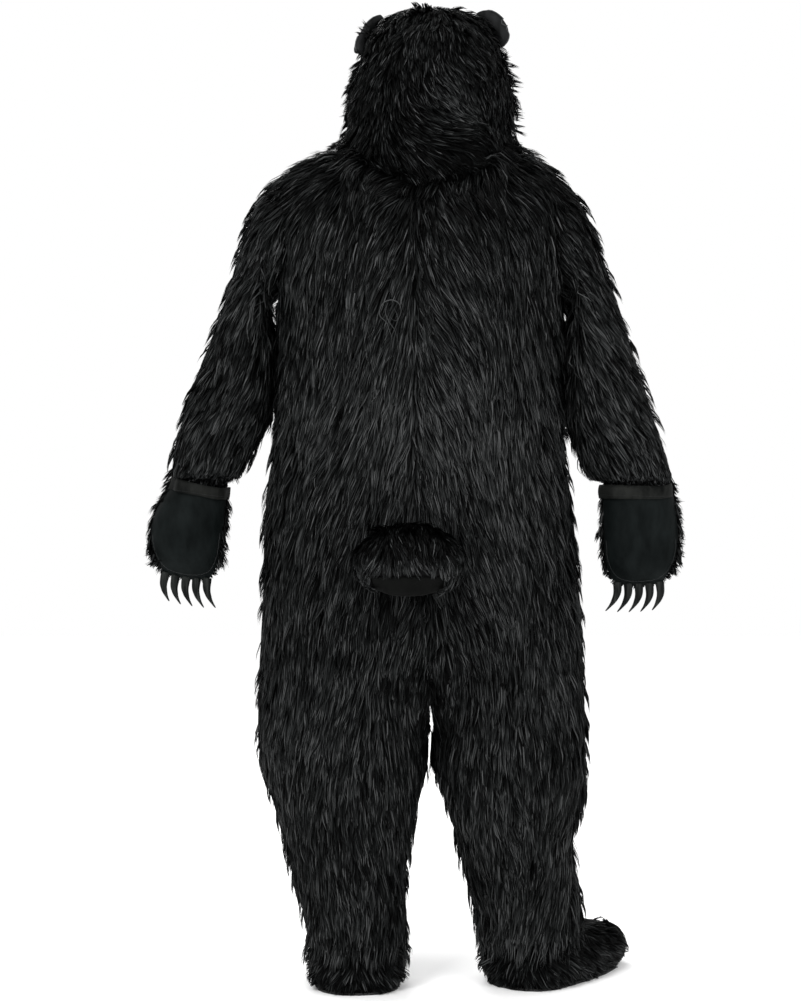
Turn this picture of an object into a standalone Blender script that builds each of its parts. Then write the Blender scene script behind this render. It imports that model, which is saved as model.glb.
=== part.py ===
"""A fur bear costume in its worn, hollow form: jumpsuit with hood and tail, mitts with claws, foot covers.

Metres, +Z up. The wearer's left is +X and the front faces -Y. The origin is at the shoulders, where the
wearer carries the costume. Heights in the tables are above the floor.
"""
import math

import bmesh
import bpy
import numpy as np
from mathutils import Matrix, Vector

# Driving sizes
SHOULDER_HEIGHT = 1.50
FUR_WALL = 0.010
HOOD_WALL = 0.008
MITT_WALL = 0.006
SEAM_GAP = 0.0002
END_SPREAD = 0.0002
FULLNESS = 0.86
SAME_PLACE = 0.00005
WELD_DISTANCE = 0.00001
SHARP_DEGREES = 40.0

# Jumpsuit levels
HEM_LEVEL = 0.098
CROTCH_LEVEL = 0.468
SEAT_LEVEL = 0.62
UNDERARM_LEVEL = 1.31
LEG_LEVELS = (0.098, 0.150, 0.210, 0.285, 0.355, 0.415)
CROTCH_STEPS = (0.0, 0.17, 0.33, 0.50, 0.68, 0.85, 1.0)
CROTCH_CURVE = 2.2
CROTCH_REACH = 0.055
THIGH_LOW = 0.37
THIGH_HIGH = 0.72
TORSO_LEVELS = (0.72, 0.80, 0.88, 0.96, 1.04, 1.12, 1.20, 1.26, 1.31)
YOKE_ROWS = 7
PANEL_COLUMNS = 12
NECK_COLUMNS = 5

# Half widths to each side and depths of the body, fur included
TORSO = [
    dict(h=0.50, mid=-0.021, left=0.309, right=0.311, back=0.180, front=0.190),
    dict(h=0.64, mid=-0.012, left=0.302, right=0.306, back=0.198, front=0.212),
    dict(h=0.70, mid=-0.006, left=0.299, right=0.305, back=0.203, front=0.220),
    dict(h=0.78, mid=-0.002, left=0.295, right=0.299, back=0.206, front=0.228),
    dict(h=0.86, mid=0.000, left=0.295, right=0.293, back=0.205, front=0.235),
    dict(h=0.94, mid=0.000, left=0.290, right=0.284, back=0.200, front=0.239),
    dict(h=1.01, mid=0.000, left=0.281, right=0.276, back=0.196, front=0.238),
    dict(h=1.08, mid=0.000, left=0.269, right=0.262, back=0.198, front=0.235),
    dict(h=1.20, mid=0.000, left=0.267, right=0.263, back=0.203, front=0.222),
    dict(h=1.31, mid=0.000, left=0.268, right=0.268, back=0.201, front=0.205),
]

# Leg rings: centre, half width and half depth
LEGS = {
    "left": [
        dict(h=0.098, x=0.120, y=-0.016, half=0.094, depth=0.094),
        dict(h=0.150, x=0.126, y=-0.012, half=0.098, depth=0.098),
        dict(h=0.210, x=0.136, y=-0.008, half=0.107, depth=0.106),
        dict(h=0.285, x=0.139, y=-0.004, half=0.120, depth=0.120),
        dict(h=0.360, x=0.141, y=0.000, half=0.137, depth=0.134),
        dict(h=0.415, x=0.142, y=0.000, half=0.153, depth=0.150),
        dict(h=0.468, x=0.143, y=0.000, half=0.163, depth=0.164),
    ],
    "right": [
        dict(h=0.098, x=-0.212, y=-0.055, half=0.100, depth=0.097),
        dict(h=0.150, x=-0.208, y=-0.048, half=0.104, depth=0.100),
        dict(h=0.210, x=-0.194, y=-0.036, half=0.106, depth=0.106),
        dict(h=0.285, x=-0.182, y=-0.022, half=0.110, depth=0.116),
        dict(h=0.360, x=-0.180, y=-0.010, half=0.131, depth=0.130),
        dict(h=0.415, x=-0.172, y=-0.003, half=0.144, depth=0.147),
        dict(h=0.468, x=-0.167, y=0.000, half=0.147, depth=0.164),
    ],
}

# Trouser hem over the instep
HEM_LIFT = 0.045
HEM_LIFT_FADE = 0.11
HEM_LIFT_POWER = 1.5

# Neck seam, shoulder seam and armhole
NECK = dict(mid=-0.014, half=0.158, back=0.135, front=0.130, side_h=1.603, back_drop=0.073, front_drop=0.103)
HOOD_SEAM_GAP = 0.0006
THROAT_GAP = 0.0015
SHOULDER_POINT = dict(x=0.262, h=1.545)
SHOULDER_CROWN = 0.006
ARMHOLE_DEPTH = 0.100
ARMHOLE_SCOOP = 0.018

# Centre back and centre front between the underarm level and the neck seam
YOKE_BACK = [
    dict(h=1.31, y=0.201),
    dict(h=1.38, y=0.204),
    dict(h=1.44, y=0.196),
    dict(h=1.49, y=0.174),
    dict(h=1.53, y=0.135),
]
YOKE_FRONT = [
    dict(h=1.31, y=0.205),
    dict(h=1.38, y=0.196),
    dict(h=1.44, y=0.173),
    dict(h=1.50, y=0.130),
]

# Sleeve rings from the armhole to the cuff: the outer and inner edge seen from behind, and the half depth
SLEEVES = {
    "left": [
        dict(t=0.00, out_x=0.262, out_h=1.545, in_x=0.268, in_h=1.310, depth=0.100),
        dict(t=0.11, out_x=0.304, out_h=1.500, in_x=0.291, in_h=1.300, depth=0.098),
        dict(t=0.22, out_x=0.333, out_h=1.426, in_x=0.281, in_h=1.250, depth=0.094),
        dict(t=0.36, out_x=0.366, out_h=1.313, in_x=0.276, in_h=1.185, depth=0.088),
        dict(t=0.48, out_x=0.394, out_h=1.237, in_x=0.277, in_h=1.130, depth=0.084),
        dict(t=0.60, out_x=0.424, out_h=1.162, in_x=0.284, in_h=1.085, depth=0.080),
        dict(t=0.73, out_x=0.450, out_h=1.086, in_x=0.309, in_h=1.045, depth=0.076),
        dict(t=0.90, out_x=0.466, out_h=1.020, in_x=0.327, in_h=1.003, depth=0.070),
        dict(t=1.00, out_x=0.469, out_h=0.992, in_x=0.343, in_h=0.980, depth=0.060),
    ],
    "right": [
        dict(t=0.00, out_x=0.262, out_h=1.545, in_x=0.268, in_h=1.310, depth=0.100),
        dict(t=0.11, out_x=0.300, out_h=1.500, in_x=0.290, in_h=1.300, depth=0.098),
        dict(t=0.22, out_x=0.331, out_h=1.426, in_x=0.278, in_h=1.250, depth=0.094),
        dict(t=0.36, out_x=0.370, out_h=1.313, in_x=0.272, in_h=1.185, depth=0.088),
        dict(t=0.48, out_x=0.394, out_h=1.237, in_x=0.271, in_h=1.130, depth=0.084),
        dict(t=0.60, out_x=0.419, out_h=1.162, in_x=0.277, in_h=1.085, depth=0.080),
        dict(t=0.73, out_x=0.443, out_h=1.086, in_x=0.293, in_h=1.045, depth=0.076),
        dict(t=0.90, out_x=0.467, out_h=1.012, in_x=0.305, in_h=0.998, depth=0.070),
        dict(t=1.00, out_x=0.476, out_h=0.982, in_x=0.328, in_h=0.974, depth=0.060),
    ],
}
SLEEVE_STEPS = 12
SLEEVE_END_CLEARANCE = 0.0006
SLEEVE_END_RISES = (0.0205, 0.0070)

# Hood rings: side height, how much of the neck seam's dip remains, half width, depths, where the face opens
HOOD = [
    dict(h=1.603, dip=1.00, mid=-0.014, half=0.158, back=0.135, front=0.130, face=1.000),
    dict(h=1.640, dip=0.75, mid=-0.018, half=0.153, back=0.138, front=0.128, face=0.885),
    dict(h=1.680, dip=0.50, mid=-0.021, half=0.157, back=0.143, front=0.130, face=0.820),
    dict(h=1.720, dip=0.28, mid=-0.021, half=0.147, back=0.145, front=0.135, face=0.802),
    dict(h=1.755, dip=0.10, mid=-0.021, half=0.135, back=0.141, front=0.136, face=0.815),
    dict(h=1.785, dip=0.00, mid=-0.021, half=0.127, back=0.133, front=0.130, face=0.880),
    dict(h=1.812, dip=0.00, mid=-0.021, half=0.114, back=0.119, front=0.117, face=1.000),
    dict(h=1.834, dip=0.00, mid=-0.021, half=0.094, back=0.099, front=0.098, face=1.000),
    dict(h=1.848, dip=0.00, mid=-0.021, half=0.064, back=0.071, front=0.070, face=1.000),
    dict(h=1.8545, dip=0.00, mid=-0.021, half=0.000, back=0.045, front=0.045, face=1.000),
]

HOOD_SLOPE_STEP = 0.002

# Ears, on the hood's upper corners
EARS = {
    "left": dict(low_h=1.772, high_h=1.838, low_turn=0.44, high_turn=0.56, rise=0.013),
    "right": dict(low_h=1.786, high_h=1.842, low_turn=0.50, high_turn=0.52, rise=0.029),
}
EAR_STEPS = 8
EAR_RISES = (0.0, 0.25, 0.5, 0.75, 1.0)
EAR_STAND = 0.004
EAR_OVERHANG = 0.10
EAR_ROOT = 0.0025
EAR_THICKNESS = 0.0065
EAR_PUFF = 0.0035
EAR_CLEARANCE = 0.0008

# Tail: rings from the seat backwards
TAIL_X = 0.023
TAIL_COLUMNS = 10
TAIL_STEPS = 6
TAIL_SEAT = 0.0007
TAIL = [
    dict(t=0.00, y=0.210, h=0.840, half=0.084, up=0.054, down=0.048),
    dict(t=0.30, y=0.240, h=0.836, half=0.094, up=0.064, down=0.058),
    dict(t=0.60, y=0.268, h=0.828, half=0.096, up=0.060, down=0.058),
    dict(t=0.85, y=0.290, h=0.818, half=0.085, up=0.040, down=0.044),
    dict(t=1.00, y=0.300, h=0.809, half=0.064, up=0.000, down=0.000),
]

# Mitts: wrist and fingertip centres, then half widths and depths along the hand
MITTS = {
    "left": dict(wrist_x=0.4195, wrist_h=0.952, tip_x=0.4425, tip_h=0.793, bow=0.012),
    "right": dict(wrist_x=-0.4120, wrist_h=0.947, tip_x=-0.4150, tip_h=0.780, bow=-0.006),
}
MITT_RINGS = {
    "left": [
        dict(t=0.00, half=0.055, palm=0.043, back=0.043),
        dict(t=0.20, half=0.063, palm=0.040, back=0.050),
        dict(t=0.45, half=0.069, palm=0.038, back=0.054),
        dict(t=0.70, half=0.067, palm=0.034, back=0.048),
        dict(t=0.88, half=0.057, palm=0.022, back=0.032),
        dict(t=1.00, half=0.046, palm=0.000, back=0.000),
    ],
    "right": [
        dict(t=0.00, half=0.068, palm=0.043, back=0.043),
        dict(t=0.20, half=0.070, palm=0.040, back=0.050),
        dict(t=0.45, half=0.072, palm=0.038, back=0.054),
        dict(t=0.70, half=0.070, palm=0.034, back=0.048),
        dict(t=0.88, half=0.061, palm=0.022, back=0.032),
        dict(t=1.00, half=0.048, palm=0.000, back=0.000),
    ],
}
MITT_TIP_ARC = 0.010
MITT_STEPS = 8
MITT_TIP_CROWDING = 1.35
MITT_COLUMNS = 7
CUFF_SEAT = 0.0008
CUFF_HEIGHT = 0.018
CUFF_WALL = 0.003

# Claws: five a mitt, spread along the fingertip seam
CLAW_COUNT = 5
CLAW_SPACING = 0.0200
CLAW_LENGTH = 0.047
CLAW_RADIUS = 0.0070
CLAW_BOW = 0.003
CLAW_HOOK = 0.005
CLAW_LEAN = {"left": 0.018, "right": 0.019}
CLAW_FAN = 0.005
CLAW_TAPER = 0.55
CLAW_TIP_SHARE = 0.10
CLAW_FLATNESS = 0.8
CLAW_SIDES = 8
CLAW_STEPS = 6
CLAW_SEAT = 0.0004

# Foot covers: heading is the toe's turn outward in degrees
FEET = {
    "left": dict(heading=4.0),
    "right": dict(heading=46.0),
}
FOOT_RINGS = [
    dict(h=0.0045, heel=0.070, toe=0.236, half=0.078, full=0.90),
    dict(h=0.022, heel=0.079, toe=0.254, half=0.088, full=0.90),
    dict(h=0.050, heel=0.083, toe=0.254, half=0.090, full=0.90),
    dict(h=0.078, heel=0.084, toe=0.232, half=0.088, full=0.92),
    dict(h=0.094, heel=0.082, toe=0.160, half=0.082, full=1.00),
    dict(h=0.108, heel=0.080, toe=0.108, half=0.079, full=1.00),
    dict(h=0.122, heel=0.078, toe=0.084, half=0.078, full=1.00),
    dict(h=0.134, heel=0.077, toe=0.077, half=0.077, full=1.00),
    dict(h=0.150, heel=0.077, toe=0.077, half=0.077, full=1.00),
]
ANKLE_RING = 4
FOOT_COLUMNS = 20
FOOT_WALL = 0.008
SOLE_THICKNESS = 0.0044
ANKLE_CLEARANCE = {"left": 0.0003, "right": 0.0009}

# Front zip
ZIP_LOW = 0.80
ZIP_SLOT = 0.0062
ZIP_HALF = 0.0058
ZIP_WALL = 0.003
ZIP_SET_BACK = 0.004
ZIP_END_ROOM = 0.03
ZIP_SLOPE_STEP = 0.004

# The slider stands on the strip near the neck, the pull hangs from its pin
SLIDER_LEVEL = 1.462
SLIDER = dict(wide=0.0088, thick=0.0028, long=0.0130)
SLIDER_STAND = 0.0004
LUG = dict(wide=0.0018, reach=0.0050, long=0.0050, spread=0.0034, root=0.0005)
PIN_RADIUS = 0.0008
PIN_SET_BACK = 0.0018
PIN_SIDES = 12
EYE_SIDES = 16
EYE_HOLE_LENGTH = 0.02
PULL = dict(wide=0.0092, thick=0.0012, long=0.030, grip=0.016, step=0.0006, eye=0.0022, clearance=0.0003)
PLATE_START = 0.6
GRIP_OVERLAP = 0.4

# Broad soft folds of the body cloth: turn is 0 at centre back, 0.5 at the side, 1 at centre front
BODY_FOLDS = [
    dict(side="left", turn=0.20, h=0.90, wide=0.060, tall=0.16, lean=0.10, depth=-0.006),
    dict(side="left", turn=0.42, h=1.16, wide=0.050, tall=0.12, lean=-0.10, depth=-0.007),
    dict(side="left", turn=0.30, h=0.40, wide=0.060, tall=0.10, lean=0.30, depth=-0.006),
    dict(side="left", turn=0.55, h=0.24, wide=0.080, tall=0.05, lean=0.40, depth=-0.006),
    dict(side="left", turn=0.22, h=0.17, wide=0.090, tall=0.03, lean=-0.50, depth=0.005),
    dict(side="left", turn=0.78, h=0.72, wide=0.060, tall=0.14, lean=-0.15, depth=-0.007),
    dict(side="left", turn=0.70, h=1.12, wide=0.060, tall=0.14, lean=0.15, depth=-0.006),
    dict(side="left", turn=0.72, h=0.36, wide=0.080, tall=0.08, lean=0.40, depth=-0.006),
    dict(side="right", turn=0.24, h=0.68, wide=0.060, tall=0.12, lean=0.20, depth=-0.009),
    dict(side="right", turn=0.14, h=1.10, wide=0.050, tall=0.16, lean=-0.10, depth=0.006),
    dict(side="right", turn=0.40, h=0.98, wide=0.050, tall=0.14, lean=0.15, depth=-0.006),
    dict(side="right", turn=0.36, h=0.33, wide=0.080, tall=0.06, lean=-0.40, depth=-0.007),
    dict(side="right", turn=0.28, h=0.20, wide=0.090, tall=0.03, lean=0.50, depth=0.005),
    dict(side="right", turn=0.80, h=0.84, wide=0.060, tall=0.16, lean=0.15, depth=-0.006),
    dict(side="right", turn=0.68, h=1.20, wide=0.060, tall=0.12, lean=-0.15, depth=-0.006),
    dict(side="right", turn=0.74, h=0.30, wide=0.080, tall=0.06, lean=-0.40, depth=-0.006),
]

SIGN = {"left": 1.0, "right": -1.0}

# Colour, roughness and metallic value of each stuff
STUFFS = {
    "fur": ((0.013, 0.014, 0.015), 0.55, 0.0),
    "velour": ((0.009, 0.011, 0.011), 0.85, 0.0),
    "claw": ((0.030, 0.030, 0.032), 0.45, 0.0),
    "sole": ((0.012, 0.012, 0.012), 0.70, 0.0),
    "zip_cloth": ((0.010, 0.010, 0.011), 0.80, 0.0),
    "zip_metal": ((0.060, 0.060, 0.062), 0.35, 1.0),
}


def clear_scene():
    for thing in list(bpy.data.objects):
        bpy.data.objects.remove(thing, do_unlink=True)


def stuff(name):
    """The Principled material of one stuff, made once."""
    material = bpy.data.materials.get(name)
    if material is None:
        material = bpy.data.materials.new(name)
        material.use_nodes = True
        shader = material.node_tree.nodes["Principled BSDF"]
        colour, roughness, metallic = STUFFS[name]
        shader.inputs["Base Color"].default_value = (*colour, 1.0)
        shader.inputs["Roughness"].default_value = roughness
        shader.inputs["Metallic"].default_value = metallic
    return material


def read(table, column, at, key="h"):
    """A column's value at a height, on a smooth curve that doesn't overshoot the rows."""
    places = [row[key] for row in table]
    values = [row[column] for row in table]
    if at <= places[0]:
        return values[0]
    if at >= places[-1]:
        return values[-1]
    low = max(i for i in range(len(places) - 1) if places[i] <= at)

    def slope(i):
        if i == 0 or i == len(places) - 1:
            return 0.0
        before = (values[i] - values[i - 1]) / (places[i] - places[i - 1])
        after = (values[i + 1] - values[i]) / (places[i + 1] - places[i])
        if before * after <= 0.0:
            return 0.0
        return 2.0 * before * after / (before + after)

    def end_slope(i, j):
        """A first or last row continues the way its neighbour goes."""
        if 0 < i < len(places) - 1:
            return slope(i)
        return (values[max(i, j)] - values[min(i, j)]) / (places[max(i, j)] - places[min(i, j)])

    span = places[low + 1] - places[low]
    s = (at - places[low]) / span
    start = end_slope(low, low + 1) * span
    finish = end_slope(low + 1, low) * span
    blend = 3.0 * s * s - 2.0 * s * s * s
    value = values[low] * (1.0 - blend) + values[low + 1] * blend
    return value + start * (s - 2.0 * s * s + s * s * s) + finish * (s * s * s - s * s)


def full(value, power=FULLNESS):
    """A sine or cosine made fuller, for a section between an ellipse and a box."""
    return math.copysign(abs(value) ** power, value)


def above_floor(x, y, h):
    return np.array((x, y, h - SHOULDER_HEIGHT))


def unit(vector):
    return vector / max(np.linalg.norm(vector), 1e-12)


class Patch:
    """One cut piece of cloth as a grid of outer points, rows by columns."""

    def __init__(self, name, grid, outward, wall, looped=False, cloth="fur", part="body"):
        self.name = name
        self.part = part
        self.grid = np.array(grid, dtype=float)
        self.outward = outward
        self.wall = wall
        self.looped = looped
        self.cloth = cloth
        self.trims = {}
        self.end_shift = np.zeros(3)

    def faces(self):
        rows, columns = self.grid.shape[:2]
        last = columns if self.looped else columns - 1
        for i in range(rows - 1):
            for j in range(last):
                k = (j + 1) % columns
                yield (i, j), (i + 1, j), (i + 1, k), (i, k)


def place_key(point):
    return tuple(np.round(point / SAME_PLACE).astype(int))


def sewn_normals(patches):
    """The outward direction at every grid point, shared where sewn pieces meet.

    Pieces of one part count together, so that a sleeve weighs as much as the whole body at the armhole.
    """
    sums = {}
    for patch in patches:
        for corners in patch.faces():
            a, b, c, d = (patch.grid[corner] for corner in corners)
            direction = np.cross(c - a, d - b) * patch.outward
            for corner in corners:
                parts = sums.setdefault(place_key(patch.grid[corner]), {})
                parts[patch.part] = parts.get(patch.part, np.zeros(3)) + direction
    shared = {key: unit(sum(unit(direction) for direction in parts.values())) for key, parts in sums.items()}
    normals = []
    for patch in patches:
        rows, columns = patch.grid.shape[:2]
        found = np.array([[shared[place_key(patch.grid[i, j])] for j in range(columns)] for i in range(rows)])
        normals.append(found)
    return normals


def trimmed(patch, outer, inner):
    """Both faces of the wall, drawn back from the seams by each edge's gap."""
    grid = patch.grid
    rows, columns = grid.shape[:2]
    edges = {"bottom": (grid[0], grid[1]), "top": (grid[-1], grid[-2])}
    moves = np.zeros_like(grid)
    places = {"bottom": moves[0], "top": moves[-1]}
    if not patch.looped:
        edges["first"] = (grid[:, 0], grid[:, 1])
        edges["last"] = (grid[:, -1], grid[:, -2])
        places["first"] = moves[:, 0]
        places["last"] = moves[:, -1]
    for edge, (line, inside) in edges.items():
        gap = patch.trims.get(edge, SEAM_GAP)
        for order in range(len(line)):
            before = line[order - 1] if patch.looped else line[max(order - 1, 0)]
            after = line[(order + 1) % len(line)] if patch.looped else line[min(order + 1, len(line) - 1)]
            tangent = unit(after - before)
            inward = inside[order] - line[order]
            if edge in ("bottom", "top"):
                inward = inward - tangent * (inward @ tangent)
            places[edge][order] += unit(inward) * (gap[order] if hasattr(gap, "__len__") else gap)
    moves[-1] += patch.end_shift
    return outer + moves, inner + moves


def finish_mesh(name, mesh, cloth, body):
    mesh.materials.append(stuff(cloth))
    mesh.shade_smooth()
    mesh.set_sharp_from_angle(angle=math.radians(SHARP_DEGREES))
    thing = bpy.data.objects.new(name, mesh)
    body.objects.link(thing)
    return thing


def close_and_finish(name, shape, cloth, body):
    """Welds a bmesh, turns its faces outwards and makes it an object."""
    bmesh.ops.remove_doubles(shape, verts=shape.verts, dist=WELD_DISTANCE)
    bmesh.ops.dissolve_degenerate(shape, dist=WELD_DISTANCE, edges=shape.edges)
    bmesh.ops.triangulate(shape, faces=shape.faces)
    bmesh.ops.recalc_face_normals(shape, faces=shape.faces)
    if shape.calc_volume(signed=True) < 0.0:
        bmesh.ops.reverse_faces(shape, faces=shape.faces)
    mesh = bpy.data.meshes.new(name)
    shape.to_mesh(mesh)
    shape.free()
    return finish_mesh(name, mesh, cloth, body)


def wall_object(patch, outer, inner, body):
    """A closed wall between the outer grid and the inner one."""
    shape = bmesh.new()
    rows, columns = outer.shape[:2]
    skins = []
    for skin in (outer, inner):
        skins.append([[shape.verts.new(skin[i, j]) for j in range(columns)] for i in range(rows)])
    for corners in patch.faces():
        shape.faces.new([skins[0][i][j] for i, j in corners])
        shape.faces.new([skins[1][i][j] for i, j in reversed(corners)])
    rims = []
    last = columns if patch.looped else columns - 1
    for i in (0, rows - 1):
        rims += [((i, j), (i, (j + 1) % columns)) for j in range(last)]
    if not patch.looped:
        for j in (0, columns - 1):
            rims += [((i, j), (i + 1, j)) for i in range(rows - 1)]
    for (i, j), (k, l) in rims:
        shape.faces.new([skins[0][i][j], skins[0][k][l], skins[1][k][l], skins[1][i][j]])
    return close_and_finish(patch.name, shape, patch.cloth, body)


def sew(patches, body):
    """Builds a group of pieces that share seams."""
    for patch, normals in zip(patches, sewn_normals(patches)):
        inner = patch.grid - normals * patch.wall
        wall_object(patch, *trimmed(patch, patch.grid, inner), body)


# Jumpsuit body

def torso_point(side, h, turn):
    """A point of the half ring: turn is 0 at centre back, 0.5 at the side, 1 at centre front."""
    angle = math.pi * turn
    mid = read(TORSO, "mid", h)
    reach = SIGN[side] * read(TORSO, side, h) - mid
    depth = read(TORSO, "back" if turn < 0.5 else "front", h)
    return above_floor(mid + reach * full(math.sin(angle)), depth * full(math.cos(angle)), h)


def leg_point(side, h, turn):
    """A point of the leg ring: turn is 0 and 1 at the inseam, 0.25 at the back, 0.5 outside."""
    angle = 2.0 * math.pi * turn
    level = min(h, CROTCH_LEVEL)
    table = LEGS[side]
    across = -SIGN[side] * read(table, "half", level) * full(math.cos(angle))
    along = read(table, "depth", level) * full(math.sin(angle))
    return above_floor(read(table, "x", level) + across, read(table, "y", level) + along, h)


def hem_lift(side, h, point):
    """The hem rides up over the instep, on the toe's side of the leg."""
    table = LEGS[side]
    heading = math.radians(FEET[side]["heading"])
    toe = np.array((SIGN[side] * math.sin(heading), -math.cos(heading)))
    away = unit(point[:2] - np.array((read(table, "x", h), read(table, "y", h))))
    fade = max(0.0, 1.0 - (h - HEM_LEVEL) / HEM_LIFT_FADE)
    return HEM_LIFT * fade * max(0.0, float(away @ toe)) ** HEM_LIFT_POWER


def body_fold(side, h, turn):
    """How far the soft folds move the cloth outwards at a place."""
    depth = 0.0
    for fold in BODY_FOLDS:
        if fold["side"] != side:
            continue
        rise = (h - fold["h"]) / fold["tall"]
        across = (turn - fold["turn"] - fold["lean"] * (h - fold["h"])) / fold["wide"]
        depth += fold["depth"] * math.exp(-rise * rise - across * across)
    return depth


def smoothstep(value):
    value = min(1.0, max(0.0, value))
    return value * value * (3.0 - 2.0 * value)


def body_row(side, h, crotch_share, turns):
    """One row of body points.

    crotch_share is 1 on the torso and 0 on the leg at the centre line, where it draws the crotch seam.
    Towards the side the leg grows out of the torso over a longer height.
    """
    row = []
    for turn in turns:
        outside = 1.0 - math.exp(-(min(turn, 1.0 - turn) / CROTCH_REACH) ** 2)
        wide_share = smoothstep((h - THIGH_LOW) / (THIGH_HIGH - THIGH_LOW))
        share = (1.0 - outside) * crotch_share + outside * wide_share
        point = share * torso_point(side, h, turn) + (1.0 - share) * leg_point(side, h, turn)
        centre = share * above_floor(0.0, 0.0, h)
        centre = centre + (1.0 - share) * (leg_point(side, h, 0.0) + leg_point(side, h, 0.5)) / 2.0
        away = unit((point - centre) * np.array((1.0, 1.0, 0.0)))
        point = point + away * body_fold(side, h, turn)
        if h < CROTCH_LEVEL:
            point[2] += hem_lift(side, h, point)
        row.append(point)
    return row


def neck_point(side, turn):
    """The neck seam: turn is 0 at centre back, 0.5 at the side, 1 at centre front."""
    angle = math.pi * turn
    depth = NECK["back"] if turn < 0.5 else NECK["front"]
    drop = NECK["back_drop"] if turn < 0.5 else NECK["front_drop"]
    x = NECK["mid"] + SIGN[side] * NECK["half"] * math.sin(angle)
    return above_floor(x, depth * math.cos(angle), NECK["side_h"] - drop * math.cos(angle) ** 2)


def armhole_point(side, face, v):
    """The armhole from the underarm, v 0, to the shoulder point, v 1. face is 1 behind and -1 in front."""
    angle = math.pi * (1.0 - v)
    high = np.array((SHOULDER_POINT["x"], SHOULDER_POINT["h"]))
    low = np.array((TORSO[-1][side], UNDERARM_LEVEL))
    x, h = (high + low) / 2.0 + (high - low) / 2.0 * math.cos(angle)
    x -= ARMHOLE_SCOOP * math.sin(angle) ** 2
    return above_floor(SIGN[side] * x, face * ARMHOLE_DEPTH * math.sin(angle), h)


def yoke_row(side, face, v):
    """A row above the underarm: a patch stretched between the chest, neck, centre and armhole edges."""
    table = YOKE_BACK if face > 0 else YOKE_FRONT
    neck_share = NECK_COLUMNS / PANEL_COLUMNS

    def chest(q):
        return torso_point(side, UNDERARM_LEVEL, 0.5 * q if face > 0 else 1.0 - 0.5 * q)

    def top(q):
        if q <= neck_share:
            turn = 0.5 * q / neck_share
            return neck_point(side, turn if face > 0 else 1.0 - turn)
        r = (q - neck_share) / (1.0 - neck_share)
        start = neck_point(side, 0.5)
        finish = armhole_point(side, face, 1.0)
        crown = np.array((0.0, 0.0, SHOULDER_CROWN * math.sin(math.pi * r)))
        return start + (finish - start) * r + crown

    def centre(level):
        h = table[0]["h"] + (table[-1]["h"] - table[0]["h"]) * level
        return above_floor(NECK["mid"] * level ** 2, face * read(table, "y", h), h)

    row = []
    for column in range(PANEL_COLUMNS + 1):
        q = column / PANEL_COLUMNS
        across = (1.0 - v) * chest(q) + v * top(q)
        along = (1.0 - q) * centre(v) + q * armhole_point(side, face, v)
        corners = (1.0 - q) * ((1.0 - v) * chest(0.0) + v * top(0.0))
        corners = corners + q * ((1.0 - v) * chest(1.0) + v * top(1.0))
        row.append(across + along - corners)
    return row


def body_levels():
    """Every row below the yoke as height and share of torso."""
    levels = [(h, 0.0) for h in LEG_LEVELS]
    for step in CROTCH_STEPS:
        levels.append((CROTCH_LEVEL + (SEAT_LEVEL - CROTCH_LEVEL) * step ** CROTCH_CURVE, step))
    levels += [(h, 1.0) for h in TORSO_LEVELS]
    return levels


def body_panel(side, face):
    """A body panel, columns from the centre to the side, rows from the hem to the shoulder."""
    turns = [0.5 * column / PANEL_COLUMNS for column in range(PANEL_COLUMNS + 1)]
    if face < 0:
        turns = [1.0 - turn for turn in turns]
    grid = [body_row(side, h, share, turns) for h, share in body_levels()]
    grid += [yoke_row(side, face, (k + 1) / YOKE_ROWS) for k in range(YOKE_ROWS)]
    name = ("back_" if face > 0 else "front_") + side
    patch = Patch(name, grid, outward=SIGN[side] * face, wall=FUR_WALL)
    if face < 0:
        zip_end = ZIP_LOW - ZIP_END_ROOM - SHOULDER_HEIGHT
        patch.trims["first"] = [ZIP_SLOT if row[0][2] > zip_end else SEAM_GAP for row in grid]
    return patch


# Sleeves

def sleeve_point(side, t, angle):
    """angle is 0 on the outer edge, 90 degrees behind."""
    table = SLEEVES[side]
    high = np.array((read(table, "out_x", t, "t"), read(table, "out_h", t, "t")))
    low = np.array((read(table, "in_x", t, "t"), read(table, "in_h", t, "t")))
    x, h = (high + low) / 2.0 + (high - low) / 2.0 * math.cos(angle)
    scoop = ARMHOLE_SCOOP * math.sin(angle) ** 2 * max(0.0, 1.0 - t / SLEEVES[side][1]["t"])
    y = read(table, "depth", t, "t") * math.sin(angle)
    return above_floor(SIGN[side] * (x - scoop), y, h)


def sleeve(side):
    columns = 2 * YOKE_ROWS
    angles = [math.pi * column / YOKE_ROWS for column in range(columns)]
    shares = [step / SLEEVE_STEPS for step in range(SLEEVE_STEPS + 1)]
    grid = [[sleeve_point(side, share, angle) for angle in angles] for share in shares]
    grid += [wrist_ring(side, rise, CUFF_WALL + SLEEVE_END_CLEARANCE, angles) for rise in SLEEVE_END_RISES]
    return Patch("sleeve_" + side, grid, outward=SIGN[side], wall=HOOD_WALL, looped=True, part="sleeve")


# Hood and ears

def hood_point(side, level, turn):
    """turn is 0 at centre back, 0.5 at the side, 1 at centre front."""
    angle = math.pi * turn
    depth = read(HOOD, "back" if turn < 0.5 else "front", level)
    drop = NECK["back_drop"] if turn < 0.5 else NECK["front_drop"]
    x = read(HOOD, "mid", level) + SIGN[side] * read(HOOD, "half", level) * math.sin(angle)
    h = level - read(HOOD, "dip", level) * drop * math.cos(angle) ** 2
    return above_floor(x, depth * math.cos(angle), h)


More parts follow.
